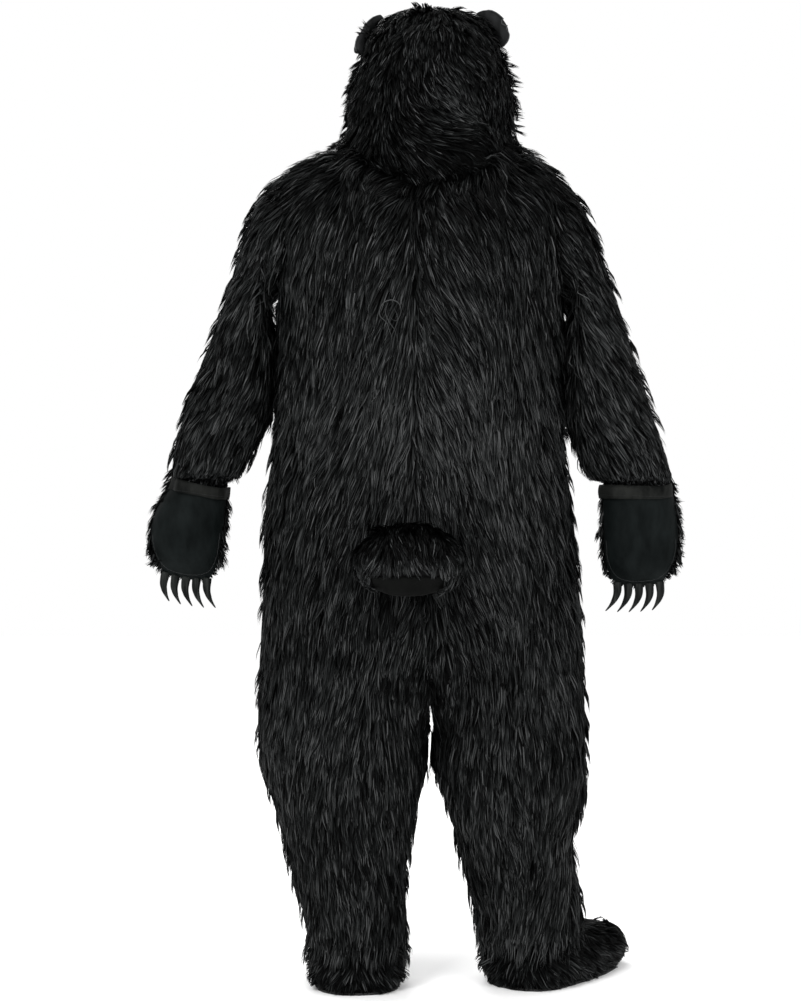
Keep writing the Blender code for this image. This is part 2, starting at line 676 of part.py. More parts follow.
def hood(side):
    columns = 2 * NECK_COLUMNS
    grid = []
    for ring in HOOD:
        turns = [ring["face"] * column / columns for column in range(columns + 1)]
        grid.append([hood_point(side, ring["h"], turn) for turn in turns])
    patch = Patch("hood_" + side, grid, outward=SIGN[side], wall=HOOD_WALL, part="hood")
    patch.trims["last"] = [ZIP_SLOT if row == 0 else SEAM_GAP for row in range(len(HOOD))]
    patch.end_shift[0] = SIGN[side] * HOOD_SEAM_GAP
    patch.trims["bottom"] = [HOOD_SEAM_GAP] * (columns - 1) + [THROAT_GAP] * 2
    return patch


def hood_normal(side, level, turn):
    step = HOOD_SLOPE_STEP
    rise = hood_point(side, level + step, turn) - hood_point(side, level - step, turn)
    across = hood_point(side, level, turn + step) - hood_point(side, level, turn - step)
    away = unit(np.cross(rise, across))
    return away if away[0] * SIGN[side] > 0 else -away


def ear_layers(side, body):
    """An ear stands on the hood along a line of its surface: two domed layers, back to back."""
    size = EARS[side]
    base = []
    for step in range(EAR_STEPS + 1):
        share = step / EAR_STEPS
        level = size["high_h"] + (size["low_h"] - size["high_h"]) * share
        turn = size["high_turn"] + (size["low_turn"] - size["high_turn"]) * share
        base.append(hood_point(side, level, turn) + hood_normal(side, level, turn) * EAR_CLEARANCE)
    along = unit(base[-1] - base[0])
    middle = (base[0] + base[-1]) / 2.0
    level = (size["high_h"] + size["low_h"]) / 2.0
    out = hood_normal(side, level, (size["high_turn"] + size["low_turn"]) / 2.0)
    out = unit(out - along * (out @ along))
    facing = unit(np.cross(along, out))
    facing = facing if facing[1] > 0 else -facing
    half = np.linalg.norm(base[-1] - base[0]) / 2.0
    crown = max(float((point - middle) @ out) for point in base)
    for layer, sign in (("back", 1.0), ("front", -1.0)):
        flat = []
        domed = []
        for step in range(EAR_STEPS + 1):
            angle = math.pi * step / EAR_STEPS
            start = base[step]
            rim = middle - along * half * (1.0 + EAR_OVERHANG) * math.cos(angle)
            rim = rim + out * (crown + EAR_STAND + size["rise"] * math.sin(angle))
            flat_row = []
            domed_row = []
            for rise in EAR_RISES:
                point = start + (rim - start) * rise
                puff = EAR_ROOT + (EAR_THICKNESS - EAR_ROOT) * min(1.0, 2.0 * rise)
                puff += EAR_PUFF * math.sin(angle) * math.sin(math.pi * rise)
                flat_row.append(point + facing * sign * SEAM_GAP)
                domed_row.append(point + facing * sign * puff)
            flat.append(flat_row)
            domed.append(domed_row)
        patch = Patch(f"ear_{side}_{layer}", domed, outward=1.0, wall=0.0, cloth="velour")
        wall_object(patch, np.array(domed), np.array(flat), body)


# Tail

def seat_y(x, h):
    """The back's outer face at a place on the seat."""
    mid = read(TORSO, "mid", h)
    side = "left" if x > mid else "right"
    share = abs(x - mid) / abs(SIGN[side] * read(TORSO, side, h) - mid)
    sine = share ** (1.0 / FULLNESS)
    return read(TORSO, "back", h) * full(math.sqrt(1.0 - sine * sine))


def tail(body):
    patches = []
    for name, face, cloth in (("tail_top", 1.0, "fur"), ("tail_under", -1.0, "velour")):
        grid = []
        for step in range(TAIL_STEPS + 1):
            t = step / TAIL_STEPS
            rise = read(TAIL, "up" if face > 0 else "down", t, "t")
            row = []
            for column in range(TAIL_COLUMNS + 1):
                angle = math.pi * column / TAIL_COLUMNS
                x = TAIL_X + read(TAIL, "half", t, "t") * math.cos(angle)
                h = read(TAIL, "h", t, "t") + face * rise * math.sin(angle)
                fit = (seat_y(x, h) + TAIL_SEAT - TAIL[0]["y"]) * (1.0 - t) ** 2
                row.append(above_floor(x, read(TAIL, "y", t, "t") + fit, h))
            grid.append(row)
        patches.append(Patch(name, grid, outward=face, wall=MITT_WALL, cloth=cloth))
        patches[-1].end_shift[2] = face * END_SPREAD
    sew(patches, body)


# Mitts and claws

def mitt_frame(side):
    size = MITTS[side]
    wrist = above_floor(size["wrist_x"], 0.0, size["wrist_h"])
    tip = above_floor(size["tip_x"], 0.0, size["tip_h"])
    along = unit(tip - wrist)
    across = unit(np.cross(np.array((0.0, 1.0, 0.0)), along)) * SIGN[side]
    across = across if across[0] * SIGN[side] > 0 else -across
    return wrist, tip, along, across


def mitt_point(side, t, angle, depth_name):
    wrist, tip, along, across = mitt_frame(side)
    size = MITTS[side]
    rings = MITT_RINGS[side]
    centre = wrist + (tip - wrist) * t
    bow = abs(size["bow"]) * math.sin(math.pi * min(1.0, t)) * math.copysign(1.0, size["bow"] * SIGN[side])
    face = 1.0 if depth_name == "palm" else -1.0
    point = centre + across * (bow + read(rings, "half", t, "t") * math.cos(angle))
    point = point + along * MITT_TIP_ARC * t ** 4 * math.sin(angle)
    point[1] += face * read(rings, depth_name, t, "t") * math.sin(angle)
    return point


def mitt(side, body):
    patches = []
    for name, cloth in (("palm", "velour"), ("back", "fur")):
        grid = []
        for step in range(MITT_STEPS + 1):
            share = step / MITT_STEPS
            t = 1.0 - (1.0 - share) ** MITT_TIP_CROWDING
            angles = [math.pi * column / MITT_COLUMNS for column in range(MITT_COLUMNS + 1)]
            grid.append([mitt_point(side, t, angle, name) for angle in angles])
        outward = SIGN[side] * (1.0 if name == "palm" else -1.0)
        patches.append(Patch(f"mitt_{side}_{name}", grid, outward=outward, wall=MITT_WALL, cloth=cloth))
        patches[-1].end_shift[1] = END_SPREAD if name == "palm" else -END_SPREAD
    sew(patches, body)
    cuff(side, body)


def wrist_ring(side, rise, inset, angles):
    """A ring round the wrist, above the mitt's top edge by rise and smaller than it by inset."""
    wrist, _, along, across = mitt_frame(side)
    ring = MITT_RINGS[side][0]
    row = []
    for angle in angles:
        point = wrist - along * rise + across * (ring["half"] - inset) * math.cos(angle)
        row.append(point + np.array((0.0, (ring["palm"] - inset) * math.sin(angle), 0.0)))
    return row


def cuff(side, body):
    columns = 2 * MITT_COLUMNS
    angles = [2.0 * math.pi * column / columns for column in range(columns)]
    grid = [wrist_ring(side, rise, 0.0, angles) for rise in (CUFF_SEAT, CUFF_HEIGHT / 2.0, CUFF_HEIGHT)]
    band = Patch(f"mitt_{side}_cuff", grid, outward=-SIGN[side], wall=CUFF_WALL, looped=True, cloth="velour")
    sew([band], body)


def claw(side, number, body):
    """A curved horn that grows out of the fingertip seam."""
    _, tip, along, across = mitt_frame(side)
    place = (number - (CLAW_COUNT + 1) / 2.0) * CLAW_SPACING
    half = MITT_RINGS[side][-1]["half"]
    lowest = max(0.0, abs(place) - CLAW_RADIUS)
    arc = MITT_TIP_ARC * math.sqrt(1.0 - (lowest / half) ** 2)
    root = tip + across * place + along * (arc + CLAW_SEAT)
    shape = bmesh.new()
    rings = []
    for step in range(CLAW_STEPS + 1):
        t = step / CLAW_STEPS
        radius = CLAW_RADIUS * max(CLAW_TIP_SHARE, (1.0 - t) ** CLAW_TAPER)
        sideways = CLAW_BOW * math.sin(math.pi * t) - CLAW_LEAN[side] * t * t + CLAW_FAN * t * place / half
        centre = root + along * CLAW_LENGTH * t + across * sideways
        centre[1] += CLAW_HOOK * t * t
        ring = []
        for k in range(CLAW_SIDES):
            angle = 2.0 * math.pi * k / CLAW_SIDES
            offset = across * radius * math.cos(angle)
            offset[1] += radius * CLAW_FLATNESS * math.sin(angle)
            ring.append(shape.verts.new(centre + offset))
        rings.append(ring)
    for low, high in zip(rings, rings[1:]):
        for k in range(CLAW_SIDES):
            nxt = (k + 1) % CLAW_SIDES
            shape.faces.new([low[k], low[nxt], high[nxt], high[k]])
    shape.faces.new(rings[0])
    shape.faces.new(list(reversed(rings[-1])))
    close_and_finish(f"claw_{side}_{number}", shape, "claw", body)


# Foot covers

def foot_frame(side):
    ring = LEGS[side][0]
    heading = math.radians(FEET[side]["heading"])
    toe = np.array((SIGN[side] * math.sin(heading), -math.cos(heading), 0.0))
    across = np.array((toe[1], -toe[0], 0.0))
    return above_floor(ring["x"], ring["y"], 0.0), toe, across


def foot_outline(side, ring, h):
    """One level section of a foot cover, from heel to toe and round."""
    ankle, toe, across = foot_frame(side)
    room = min(LEGS[side][0]["half"], LEGS[side][0]["depth"]) - FUR_WALL - ANKLE_CLEARANCE[side]
    grow = room - FOOT_RINGS[ANKLE_RING]["heel"]
    row = []
    for column in range(FOOT_COLUMNS):
        angle = 2.0 * math.pi * column / FOOT_COLUMNS
        reach = ring["toe"] if math.cos(angle) > 0 else ring["heel"]
        forward = (reach + grow) * full(math.cos(angle), ring["full"])
        sideways = (ring["half"] + grow) * full(math.sin(angle), ring["full"])
        row.append(ankle + toe * forward + across * sideways + np.array((0.0, 0.0, h)))
    return row


def foot(side, body):
    grid = [foot_outline(side, ring, ring["h"]) for ring in FOOT_RINGS]
    sew([Patch(f"foot_{side}_upper", grid, outward=1.0, wall=FOOT_WALL, looped=True)], body)
    shape = bmesh.new()
    low = [shape.verts.new(point) for point in foot_outline(side, FOOT_RINGS[0], 0.0)]
    high = [shape.verts.new(point) for point in foot_outline(side, FOOT_RINGS[0], SOLE_THICKNESS)]
    for k in range(FOOT_COLUMNS):
        nxt = (k + 1) % FOOT_COLUMNS
        shape.faces.new([low[k], low[nxt], high[nxt], high[k]])
    shape.faces.new(list(reversed(low)))
    shape.faces.new(high)
    close_and_finish(f"foot_{side}_sole", shape, "sole", body)


# Front zip

def centre_front(h):
    """The middle of the front at a height, on the fur's outer face."""
    if h <= UNDERARM_LEVEL:
        return torso_point("left", h, 1.0)
    level = (h - UNDERARM_LEVEL) / (YOKE_FRONT[-1]["h"] - UNDERARM_LEVEL)
    return above_floor(NECK["mid"] * level ** 2, -read(YOKE_FRONT, "y", h), h)


def centre_front_frame(h):
    """A place on the centre front with the direction down the zip and the one away from the chest."""
    step = ZIP_SLOPE_STEP
    down = unit(centre_front(h - step) - centre_front(h + step))
    away = unit(np.cross(np.array((1.0, 0.0, 0.0)), down))
    away = away if away[1] < 0 else -away
    return centre_front(h), down, away


def zip_levels():
    """The rows of the front panels that the zip runs along."""
    levels = [h for h in TORSO_LEVELS if h >= ZIP_LOW]
    rise = YOKE_FRONT[-1]["h"] - UNDERARM_LEVEL
    levels += [UNDERARM_LEVEL + rise * (k + 1) / YOKE_ROWS for k in range(YOKE_ROWS)]
    return levels


def zip_strip(body):
    grid = []
    for h in zip_levels():
        place, _, away = centre_front_frame(h)
        place = place - away * ZIP_SET_BACK
        grid.append([place + np.array((x, 0.0, 0.0)) for x in (-ZIP_HALF, 0.0, ZIP_HALF)])
    sew([Patch("zip", grid, outward=-1.0, wall=ZIP_WALL, cloth="zip_cloth")], body)


def slider_frame():
    place, down, away = centre_front_frame(SLIDER_LEVEL)
    return place - away * ZIP_SET_BACK, down, away


def box(name, centre, down, away, wide, thick, length):
    """A box along the zip's own directions."""
    shape = bmesh.new()
    bmesh.ops.create_cube(shape, size=1.0)
    turn = Matrix((Vector((1.0, 0.0, 0.0)), Vector(down), Vector(away))).transposed().to_4x4()
    scale = Matrix.Diagonal((wide, length, thick, 1.0))
    bmesh.ops.transform(shape, matrix=Matrix.Translation(Vector(centre)) @ turn @ scale, verts=shape.verts)
    mesh = bpy.data.meshes.new(name)
    bmesh.ops.recalc_face_normals(shape, faces=shape.faces)
    shape.to_mesh(mesh)
    shape.free()
    return mesh


def rod(name, centre, radius, length, sides=PIN_SIDES):
    """A round bar along X."""
    shape = bmesh.new()
    bmesh.ops.create_cone(shape, cap_ends=True, segments=sides, radius1=radius, radius2=radius, depth=length)
    turn = Matrix.Rotation(math.radians(90.0), 4, "Y")
    bmesh.ops.transform(shape, matrix=Matrix.Translation(Vector(centre)) @ turn, verts=shape.verts)
    mesh = bpy.data.meshes.new(name)
    shape.to_mesh(mesh)
    shape.free()
    return mesh


def joined(name, base, others, kind, cloth, body, cutters):
    """One object from a base mesh and others that are added to it or cut from it."""
    thing = finish_mesh(name, base, cloth, body)
    for order, mesh in enumerate(others):
        tool = bpy.data.objects.new(f"{name}_tool_{order}", mesh)
        cutters.objects.link(tool)
        tool.hide_render = True
        tool.display_type = "WIRE"
        change = thing.modifiers.new(f"{kind} {order}", "BOOLEAN")
        change.operation = kind
        change.object = tool
    return thing


def zip_slider(body, cutters):
    place, down, away = slider_frame()
    middle = place + away * (SLIDER_STAND + SLIDER["thick"] / 2.0)
    base = box("zip_slider", middle, down, away, SLIDER["wide"], SLIDER["thick"], SLIDER["long"])
    pin = pin_centre()
    extras = []
    for sign in (-1.0, 1.0):
        spot = middle + away * (SLIDER["thick"] / 2.0 + (LUG["reach"] - LUG["root"]) / 2.0)
        spot = spot + np.array((sign * LUG["spread"], 0.0, 0.0))
        extras.append(box("lug", spot, down, away, LUG["wide"], LUG["reach"] + LUG["root"], LUG["long"]))
    extras.append(rod("pin", pin, PIN_RADIUS, 2.0 * LUG["spread"]))
    joined("zip_slider", base, extras, "UNION", "zip_metal", body, cutters)


def pin_centre():
    """The pull's hinge."""
    place, _, away = slider_frame()
    return place + away * (SLIDER_STAND + SLIDER["thick"] + LUG["reach"] - PIN_SET_BACK)


def zip_pull(body, cutters):
    _, down, away = slider_frame()
    pin = pin_centre()
    wide = 2.0 * (LUG["spread"] - LUG["wide"] / 2.0 - PULL["clearance"])
    barrel = rod("pull", pin, PULL["eye"], wide, sides=EYE_SIDES)
    middle = pin + down * (PULL["eye"] * PLATE_START + PULL["long"] / 2.0)
    plate = box("plate", middle, down, away, wide - PULL["step"], PULL["thick"], PULL["long"])
    grip_middle = pin + down * (PULL["long"] - PULL["grip"] * GRIP_OVERLAP)
    end = box("grip", grip_middle, down, away, PULL["wide"], PULL["thick"] + PULL["step"], PULL["grip"])
    thing = joined("zip_pull", barrel, [plate, end], "UNION", "zip_metal", body, cutters)
    bore = rod("hole", pin, PIN_RADIUS + PULL["clearance"], EYE_HOLE_LENGTH)
    hole = bpy.data.objects.new("zip_pull_hole", bore)
    cutters.objects.link(hole)
    hole.hide_render = True
    hole.display_type = "WIRE"
    cut = thing.modifiers.new("hole", "BOOLEAN")
    cut.operation = "DIFFERENCE"
    cut.object = hole


def main():
    clear_scene()
    body = bpy.data.collections.new("bear_costume")
    cutters = bpy.data.collections.new("cutters")
    for collection in (body, cutters):
        bpy.context.scene.collection.children.link(collection)
    suit = [body_panel(side, face) for side in SIGN for face in (1.0, -1.0)]
    suit += [sleeve(side) for side in SIGN]
    suit += [hood(side) for side in SIGN]
    sew(suit, body)
    tail(body)
    for side in SIGN:
        ear_layers(side, body)
        mitt(side, body)
        for number in range(1, CLAW_COUNT + 1):
            claw(side, number, body)
        foot(side, body)
    zip_strip(body)
    zip_slider(body, cutters)
    zip_pull(body, cutters)


main()
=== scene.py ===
"""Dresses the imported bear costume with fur, velour, claws, soles and a zip, in a plain pale studio.

Metres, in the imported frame: +Z up, the wearer's front faces -Y, the wearer's left is +X. The origin is
at the shoulders, SHOULDER_HEIGHT above the floor.
"""
import math

import bmesh
import bpy
import numpy as np
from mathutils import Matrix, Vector
from mathutils.bvhtree import BVHTree
from mathutils.kdtree import KDTree


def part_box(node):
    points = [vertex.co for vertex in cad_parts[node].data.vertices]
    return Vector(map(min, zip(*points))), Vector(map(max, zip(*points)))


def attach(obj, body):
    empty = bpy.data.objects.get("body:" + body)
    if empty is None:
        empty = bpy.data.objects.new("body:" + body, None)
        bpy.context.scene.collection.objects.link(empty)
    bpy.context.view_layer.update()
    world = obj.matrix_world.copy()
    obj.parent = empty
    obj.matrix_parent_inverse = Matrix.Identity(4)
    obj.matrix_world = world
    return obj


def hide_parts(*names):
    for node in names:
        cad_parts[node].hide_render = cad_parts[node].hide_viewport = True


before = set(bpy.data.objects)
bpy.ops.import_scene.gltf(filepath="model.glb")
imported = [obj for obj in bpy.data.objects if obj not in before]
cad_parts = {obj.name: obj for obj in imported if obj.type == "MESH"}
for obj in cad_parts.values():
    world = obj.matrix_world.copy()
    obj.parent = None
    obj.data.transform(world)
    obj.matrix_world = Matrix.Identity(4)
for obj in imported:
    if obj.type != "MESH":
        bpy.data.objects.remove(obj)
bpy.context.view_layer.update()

SHOULDER_HEIGHT = 1.50
FLOOR = -SHOULDER_HEIGHT
SUIT = "costume"
SIDES = {"left": 1.0, "right": -1.0}
SHARP_ANGLE = math.radians(50.0)
RANDOM = np.random.default_rng(11)
TINY = 1e-9
ACROSS, BACKWARDS, UP = np.eye(3)
FORWARDS = -Vector(BACKWARDS)

# Points of a solid that are nearer than this are one
WELD = 0.000005

# Where the fur's character changes: heights, then places across
SHOULDER_BAND = -0.03
HIP_LEVEL = -0.72
CROTCH_LEVEL = -1.00
HOOD_MIDDLE = -0.021
TAIL_MIDDLE = 0.023
SEAM_LINE = 0.011

# Pile is how deep the fur's roots lie under the solid's face; lift is how far its tips stand past it,
# and tuft how much farther the tips of a tuft do. A row with SIDE in its name is for each side.
COLUMNS = ("locks", "length", "width", "pile", "lift", "tuft", "flow")
ROWS = {
    "back_SIDE": (34000, 0.056, 0.0026, 0.0075, 0.0013, 0.010, "body"),
    "front_SIDE": (15000, 0.056, 0.0040, 0.0075, 0.0013, 0.010, "body"),
    "sleeve_SIDE": (15000, 0.050, 0.0028, 0.0055, 0.0015, 0.012, "sleeve"),
    "hood_SIDE": (13000, 0.036, 0.0022, 0.0055, 0.0020, 0.017, "hood"),
    "mitt_SIDE_back": (3600, 0.034, 0.0022, 0.0040, 0.0040, 0.012, "mitt"),
    "foot_SIDE_upper": (6500, 0.038, 0.0026, 0.0055, 0.0015, 0.014, "foot"),
    "tail_top": (4200, 0.040, 0.0024, 0.0040, 0.0020, 0.010, "tail"),
    "tail_under": (1500, 0.034, 0.0022, 0.0, 0.0040, 0.010, "tail"),
}
FUR = {}
for row_name, row in ROWS.items():
    for side in SIDES if "SIDE" in row_name else ("",):
        FUR[row_name.replace("SIDE", side)] = dict(zip(COLUMNS, row))

# How the locks of a clump and each lock in it stray
LOCKS_PER_CLUMP = 12
CLUMP_TURN = 0.12
CLUMP_TONE = 0.05
LOCK_TONE = 0.28
LOCK_TURN = 0.08
LOCK_ROLL = 0.55
TUFT_SHARE = 0.16

# The least and most that chance gives a lock: shares of its length, width and lift, of its tuft's lift
# and the extra lift, and how much it leans to its clump
LENGTH_SPREAD = (0.75, 1.15)
WIDTH_SPREAD = (0.6, 1.25)
LIFT_SPREAD = (0.3, 1.7)
TUFT_SPREAD = (0.4, 1.0)
EXTRA_SPREAD = (0.3, 1.0)
PULL_SPREAD = (0.25, 0.65)

# A lock is a blade with two corners at each of its first three stations and one at its tip. They make
# two quads and a triangle. Their tones are painted shade, darkest at the root deep in the pile, and a
# painted highlight, lightest towards the tip.
STATIONS = (0.0, 0.35, 0.70, 1.0)
TAPER = (1.0, 0.95, 0.62)
BLADE_CORNERS = 7
BLADE_LOOPS = np.array([0, 1, 3, 2, 2, 3, 5, 4, 4, 5, 6])
BLADE_STARTS = np.array([0, 4, 8])
# Painted shade at the root of each blade and a painted highlight towards its tip
BLADE_PAINTED_SHADING = np.array([-0.34, -0.34, -0.06, -0.06, 0.08, 0.08, 0.0])

# The hem of each sleeve, where the fur stops short of the mitt's cuff
SLEEVE_END = {"left": -0.527, "right": -0.532}

# The narrow space between arm and body, which the fur fills
ARM_SPACE = dict(low=-0.44, high=-0.16, inner=0.235, outer=0.305, lift=0.006)

# Where the fur stands out: the ruff at the neck and the fringe at the leg hems
RUFF = dict(level=0.098, reach=0.030, from_side=0.10, lift=0.013)
HEM = dict(level=-1.402, reach=0.024, lift=0.013)

# How far the fur at the soles stays above the floor
ABOVE_FLOOR = 0.0008

# The smooth lens of velour under the tail, kept free of fur
TAIL_LENS = dict(half=0.064, low=-0.668, hang=0.024)

# How the fur is combed. Ways are shares of one metre down; reaches, levels and fades are metres.
# A place is how far across it is with its reach, and how far up with its reach.
COMB = dict(share=0.36, reach=0.20, parting=0.008, fade=0.25, outwards=0.05)
RUFFLE = dict(fade=0.06, least=0.20, more=0.60, rise=0.25, longer=0.10)
SLEEVE = dict(outwards=0.46, down=0.93, room=0.95, least=0.12)
HOOD = dict(low=0.15, fade=0.12, down=1.1, out=0.25, low_out=0.35, behind=0.05, length=0.80, longer=0.75)
SWEEP = dict(place=(-0.06, 0.07, 0.11, 0.045), across=-1.9, up=0.7)
MITT = dict(outwards=1.9, bare=0.004, fade=0.045, least=0.16)
FOOT = dict(parting={"left": 0.55, "right": 0.80}, outwards=1.1, forwards=0.45, down=0.70, least=0.45,
            fade=0.06)
TAIL = dict(outwards=0.45, half=0.09, back=0.55, down=0.80, long=0.95, short=0.85)

# Smooth random sways, each with how much it moves, the size of its features and its seed
SWAYS = {
    "body_across": (1.0, 0.19, 3),
    "body_depth": (0.15, 0.14, 5),
    "sleeve_across": (0.18, 0.12, 13),
    "sleeve_depth": (0.20, 0.12, 17),
    "hood_across": (0.62, 0.085, 23),
    "hood_depth": (0.40, 0.085, 29),
    "mitt_across": (0.20, 0.05, 31),
    "mitt_depth": (0.15, 0.05, 37),
    "foot_across": (0.45, 0.05, 41),
    "foot_depth": (0.30, 0.05, 43),
    "tail_across": (0.40, 0.035, 47),
    "tone_patches": (0.07, 0.20, 53),
    "tone_flecks": (0.05, 0.06, 59),
    "palm_folds": (1.0, 0.030, 71),
    "cuff_roll": (0.60, 0.03, 73),
    "cuff_pucker": (0.0028, 0.022, 79),
    "cuff_wave": (0.0050, 0.9, 83),
    "cuff_hang": (0.25, 0.8, 89),
}
WAVES = 7
WAVE_RATE = 2.2
WAVE_SUM = 3.2

# Lighter and darker spots of the fur, some of them painted shadow and painted light as marked below: each
# one's place, how much lighter it is, and whether it is on the back alone
MIDDLE_TONE = 0.50
ALL = math.inf
# A darker band round the neck: painted shadow under the hood
NECK_PAINTED_SHADOW = (0.0, ALL, 0.05, 0.09, -0.24, False)
# A lighter patch on the back at the waist: painted light where light falls across the back
WAIST_PAINTED_LIGHT = (-0.15, 0.10, -0.46, 0.16, 0.10, True)
SPOTS = {
    "sleeve": [NECK_PAINTED_SHADOW, WAIST_PAINTED_LIGHT],
    "body": [
        NECK_PAINTED_SHADOW,
        WAIST_PAINTED_LIGHT,
        # Darker just below the tail: painted shadow under it
        (TAIL_MIDDLE, 0.07, -0.74, 0.06, -0.10, True),
        # Darker down the middle between the legs: painted shade in the crease
        (HOOD_MIDDLE, 0.03, -0.95, 0.12, -0.30, False),
        (0.0, ALL, HEM["level"] + 0.01, 0.02, 0.16, False),
    ],
    "hood": [(-0.05, 0.045, 0.17, 0.045, 0.26, True)],
}

# How much lighter a kind of fur is, how much more beyond a level, and over what height that comes in.
# On the feet the extra darkness near the leg's hem is painted shadow, and on the tail the extra darkness
# at its top is painted shadow in the hollow against the back.
STEPS = {
    "hood": (-0.27, -0.06, 0.14, -0.10),
    # The feet: much darker near their top, painted shadow under the leg's hem
    "foot": (-0.10, -0.32, -1.440, 0.02),
    # The tail: lighter, and much darker at its top, painted shadow in the hollow against the back
    "tail": (0.16, -0.52, -0.655, 0.022),
}


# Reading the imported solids

def node_shape(node):
    """A bmesh of a node's solid, with the points at one place made one."""
    shape = bmesh.new()
    shape.from_mesh(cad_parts[node].data)
    bmesh.ops.remove_doubles(shape, verts=shape.verts, dist=WELD)
    bmesh.ops.triangulate(shape, faces=shape.faces)
    shape.verts.index_update()
    shape.faces.index_update()
    return shape


def outer_faces(shape):
    """The faces of the wall's outer skin: the largest stretch of surface with no sharp edge in it."""
    shape.faces.ensure_lookup_table()
    left = set(range(len(shape.faces)))
    best, best_area = [], 0.0
    while left:
        start = left.pop()
        stretch, queue = [start], [start]
        while queue:
            face = shape.faces[queue.pop()]
            for edge in face.edges:
                if len(edge.link_faces) != 2 or edge.calc_face_angle(math.pi) > SHARP_ANGLE:
                    continue
                for other in edge.link_faces:
                    if other.index in left:
                        left.discard(other.index)
                        stretch.append(other.index)
                        queue.append(other.index)
        area = sum(shape.faces[i].calc_area() for i in stretch)
        if area > best_area:
            best, best_area = stretch, area
    return best


class Skin:
    """The outer skin of a node as arrays: points, triangles and a normal at each point."""

    def __init__(self, node):
        shape = node_shape(node)
        faces = outer_faces(shape)
        self.points = np.array([vert.co for vert in shape.verts])
        self.triangles = np.array([[vert.index for vert in shape.faces[i].verts] for i in faces])
        shape.free()
        a, b, c = (self.points[self.triangles[:, k]] for k in range(3))
        crosses = np.cross(b - a, c - a)
        self.areas = np.linalg.norm(crosses, axis=1) / 2.0
        self.normals = np.zeros_like(self.points)
        for k in range(3):
            np.add.at(self.normals, self.triangles[:, k], crosses)
        self.normals = unit(self.normals)

    def spread(self, count):
        """Evenly spread random points with their normals."""
        chosen = RANDOM.choice(len(self.triangles), size=count, p=self.areas / self.areas.sum())
        s, t = RANDOM.random(count), RANDOM.random(count)
        flip = s + t > 1.0
        s[flip], t[flip] = 1.0 - s[flip], 1.0 - t[flip]
        weights = np.stack([1.0 - s - t, s, t], axis=1)[:, :, None]
        corners = self.triangles[chosen]
        points = (self.points[corners] * weights).sum(axis=1)
        normals = unit((self.normals[corners] * weights).sum(axis=1))
        return points, normals


def unit(vectors):
    return vectors / np.maximum(np.linalg.norm(vectors, axis=-1, keepdims=True), TINY)


def wander(points, size, seed):
    """A smooth random value from about -1 to 1 at each point, with features of the given size."""
    source = np.random.default_rng(seed)
    waves = source.normal(size=(WAVES, 3)) * WAVE_RATE / size
    phases = source.random(WAVES) * 2.0 * math.pi
    return np.sin(points @ waves.T + phases).sum(axis=1) / WAVE_SUM


def sway(points, name):
    """The sway of that name at each point."""
    much, size, seed = SWAYS[name]
    return much * wander(points, size, seed)


def spot(points, x, x_reach, z, z_reach):
    """1 at a place across and up, fading away beyond its reaches."""
    return np.exp(-((points[:, 0] - x) / x_reach) ** 2 - ((points[:, 2] - z) / z_reach) ** 2)


# Materials

def set_inputs(node, **values):
    """Sets a node's inputs. An underscore stands for a space in their names."""
    for name, value in values.items():
        node.inputs[name.replace("_", " ")].default_value = value


def material(name, base, roughness, specular=0.3, metallic=0.0, sheen=0.0):
    made = bpy.data.materials.new(name)
    made.use_nodes = True
    shader = made.node_tree.nodes["Principled BSDF"]
    set_inputs(shader, Base_Color=(*base, 1.0), Roughness=roughness, Specular_IOR_Level=specular,
               Metallic=metallic, Sheen_Weight=sheen, Sheen_Roughness=0.5)
    return made, made.node_tree, shader


def coloured(tree, shader, source, stops):
    """The shader's colour, from a node's value through a ramp of stops."""
    node = tree.nodes.new("ShaderNodeValToRGB")
    while len(node.color_ramp.elements) < len(stops):
        node.color_ramp.elements.new(0.5)
    for element, (place, colour) in zip(node.color_ramp.elements, stops):
        element.position = place
        element.color = (*colour, 1.0)
    tree.links.new(source.outputs["Fac"], node.inputs["Fac"])
    tree.links.new(node.outputs["Color"], shader.inputs["Base Color"])


def noise(tree, scale, detail=3.0, roughness=0.5, stretch=(1.0, 1.0, 1.0)):
    place = tree.nodes.new("ShaderNodeTexCoord")
    mapping = tree.nodes.new("ShaderNodeMapping")
    set_inputs(mapping, Scale=stretch)
    node = tree.nodes.new("ShaderNodeTexNoise")
    set_inputs(node, Scale=scale, Detail=detail, Roughness=roughness)
    tree.links.new(place.outputs["Object"], mapping.inputs["Vector"])
    tree.links.new(mapping.outputs["Vector"], node.inputs["Vector"])
    return node


def bump(tree, shader, height, distance, strength=1.0):
    node = tree.nodes.new("ShaderNodeBump")
    set_inputs(node, Distance=distance, Strength=strength)
    tree.links.new(height, node.inputs["Height"])
    tree.links.new(node.outputs["Normal"], shader.inputs["Normal"])


def fur_material():
    made, tree, shader = material("black_fur", (0.01, 0.01, 0.01), roughness=0.42, specular=0.022)
    shade = tree.nodes.new("ShaderNodeAttribute")
    shade.attribute_name = "shade"
    coloured(tree, shader, shade, [
        (0.0, (0.0003, 0.0003, 0.0003)),
        (0.30, (0.0009, 0.0010, 0.0010)),
        (0.55, (0.0057, 0.0063, 0.0063)),
        (0.80, (0.0200, 0.0212, 0.0214)),
        (1.0, (0.0450, 0.0465, 0.0468)),
    ])
    return made


def backing_material():
    made, tree, shader = material("knit_backing", (0.003, 0.003, 0.003), roughness=0.9, specular=0.1)
    knit = noise(tree, 420.0, detail=1.0)
    coloured(tree, shader, knit, [(0.3, (0.0015, 0.0015, 0.0016)), (0.7, (0.0050, 0.0052, 0.0054))])
    bump(tree, shader, knit.outputs["Fac"], 0.0006)
    return made


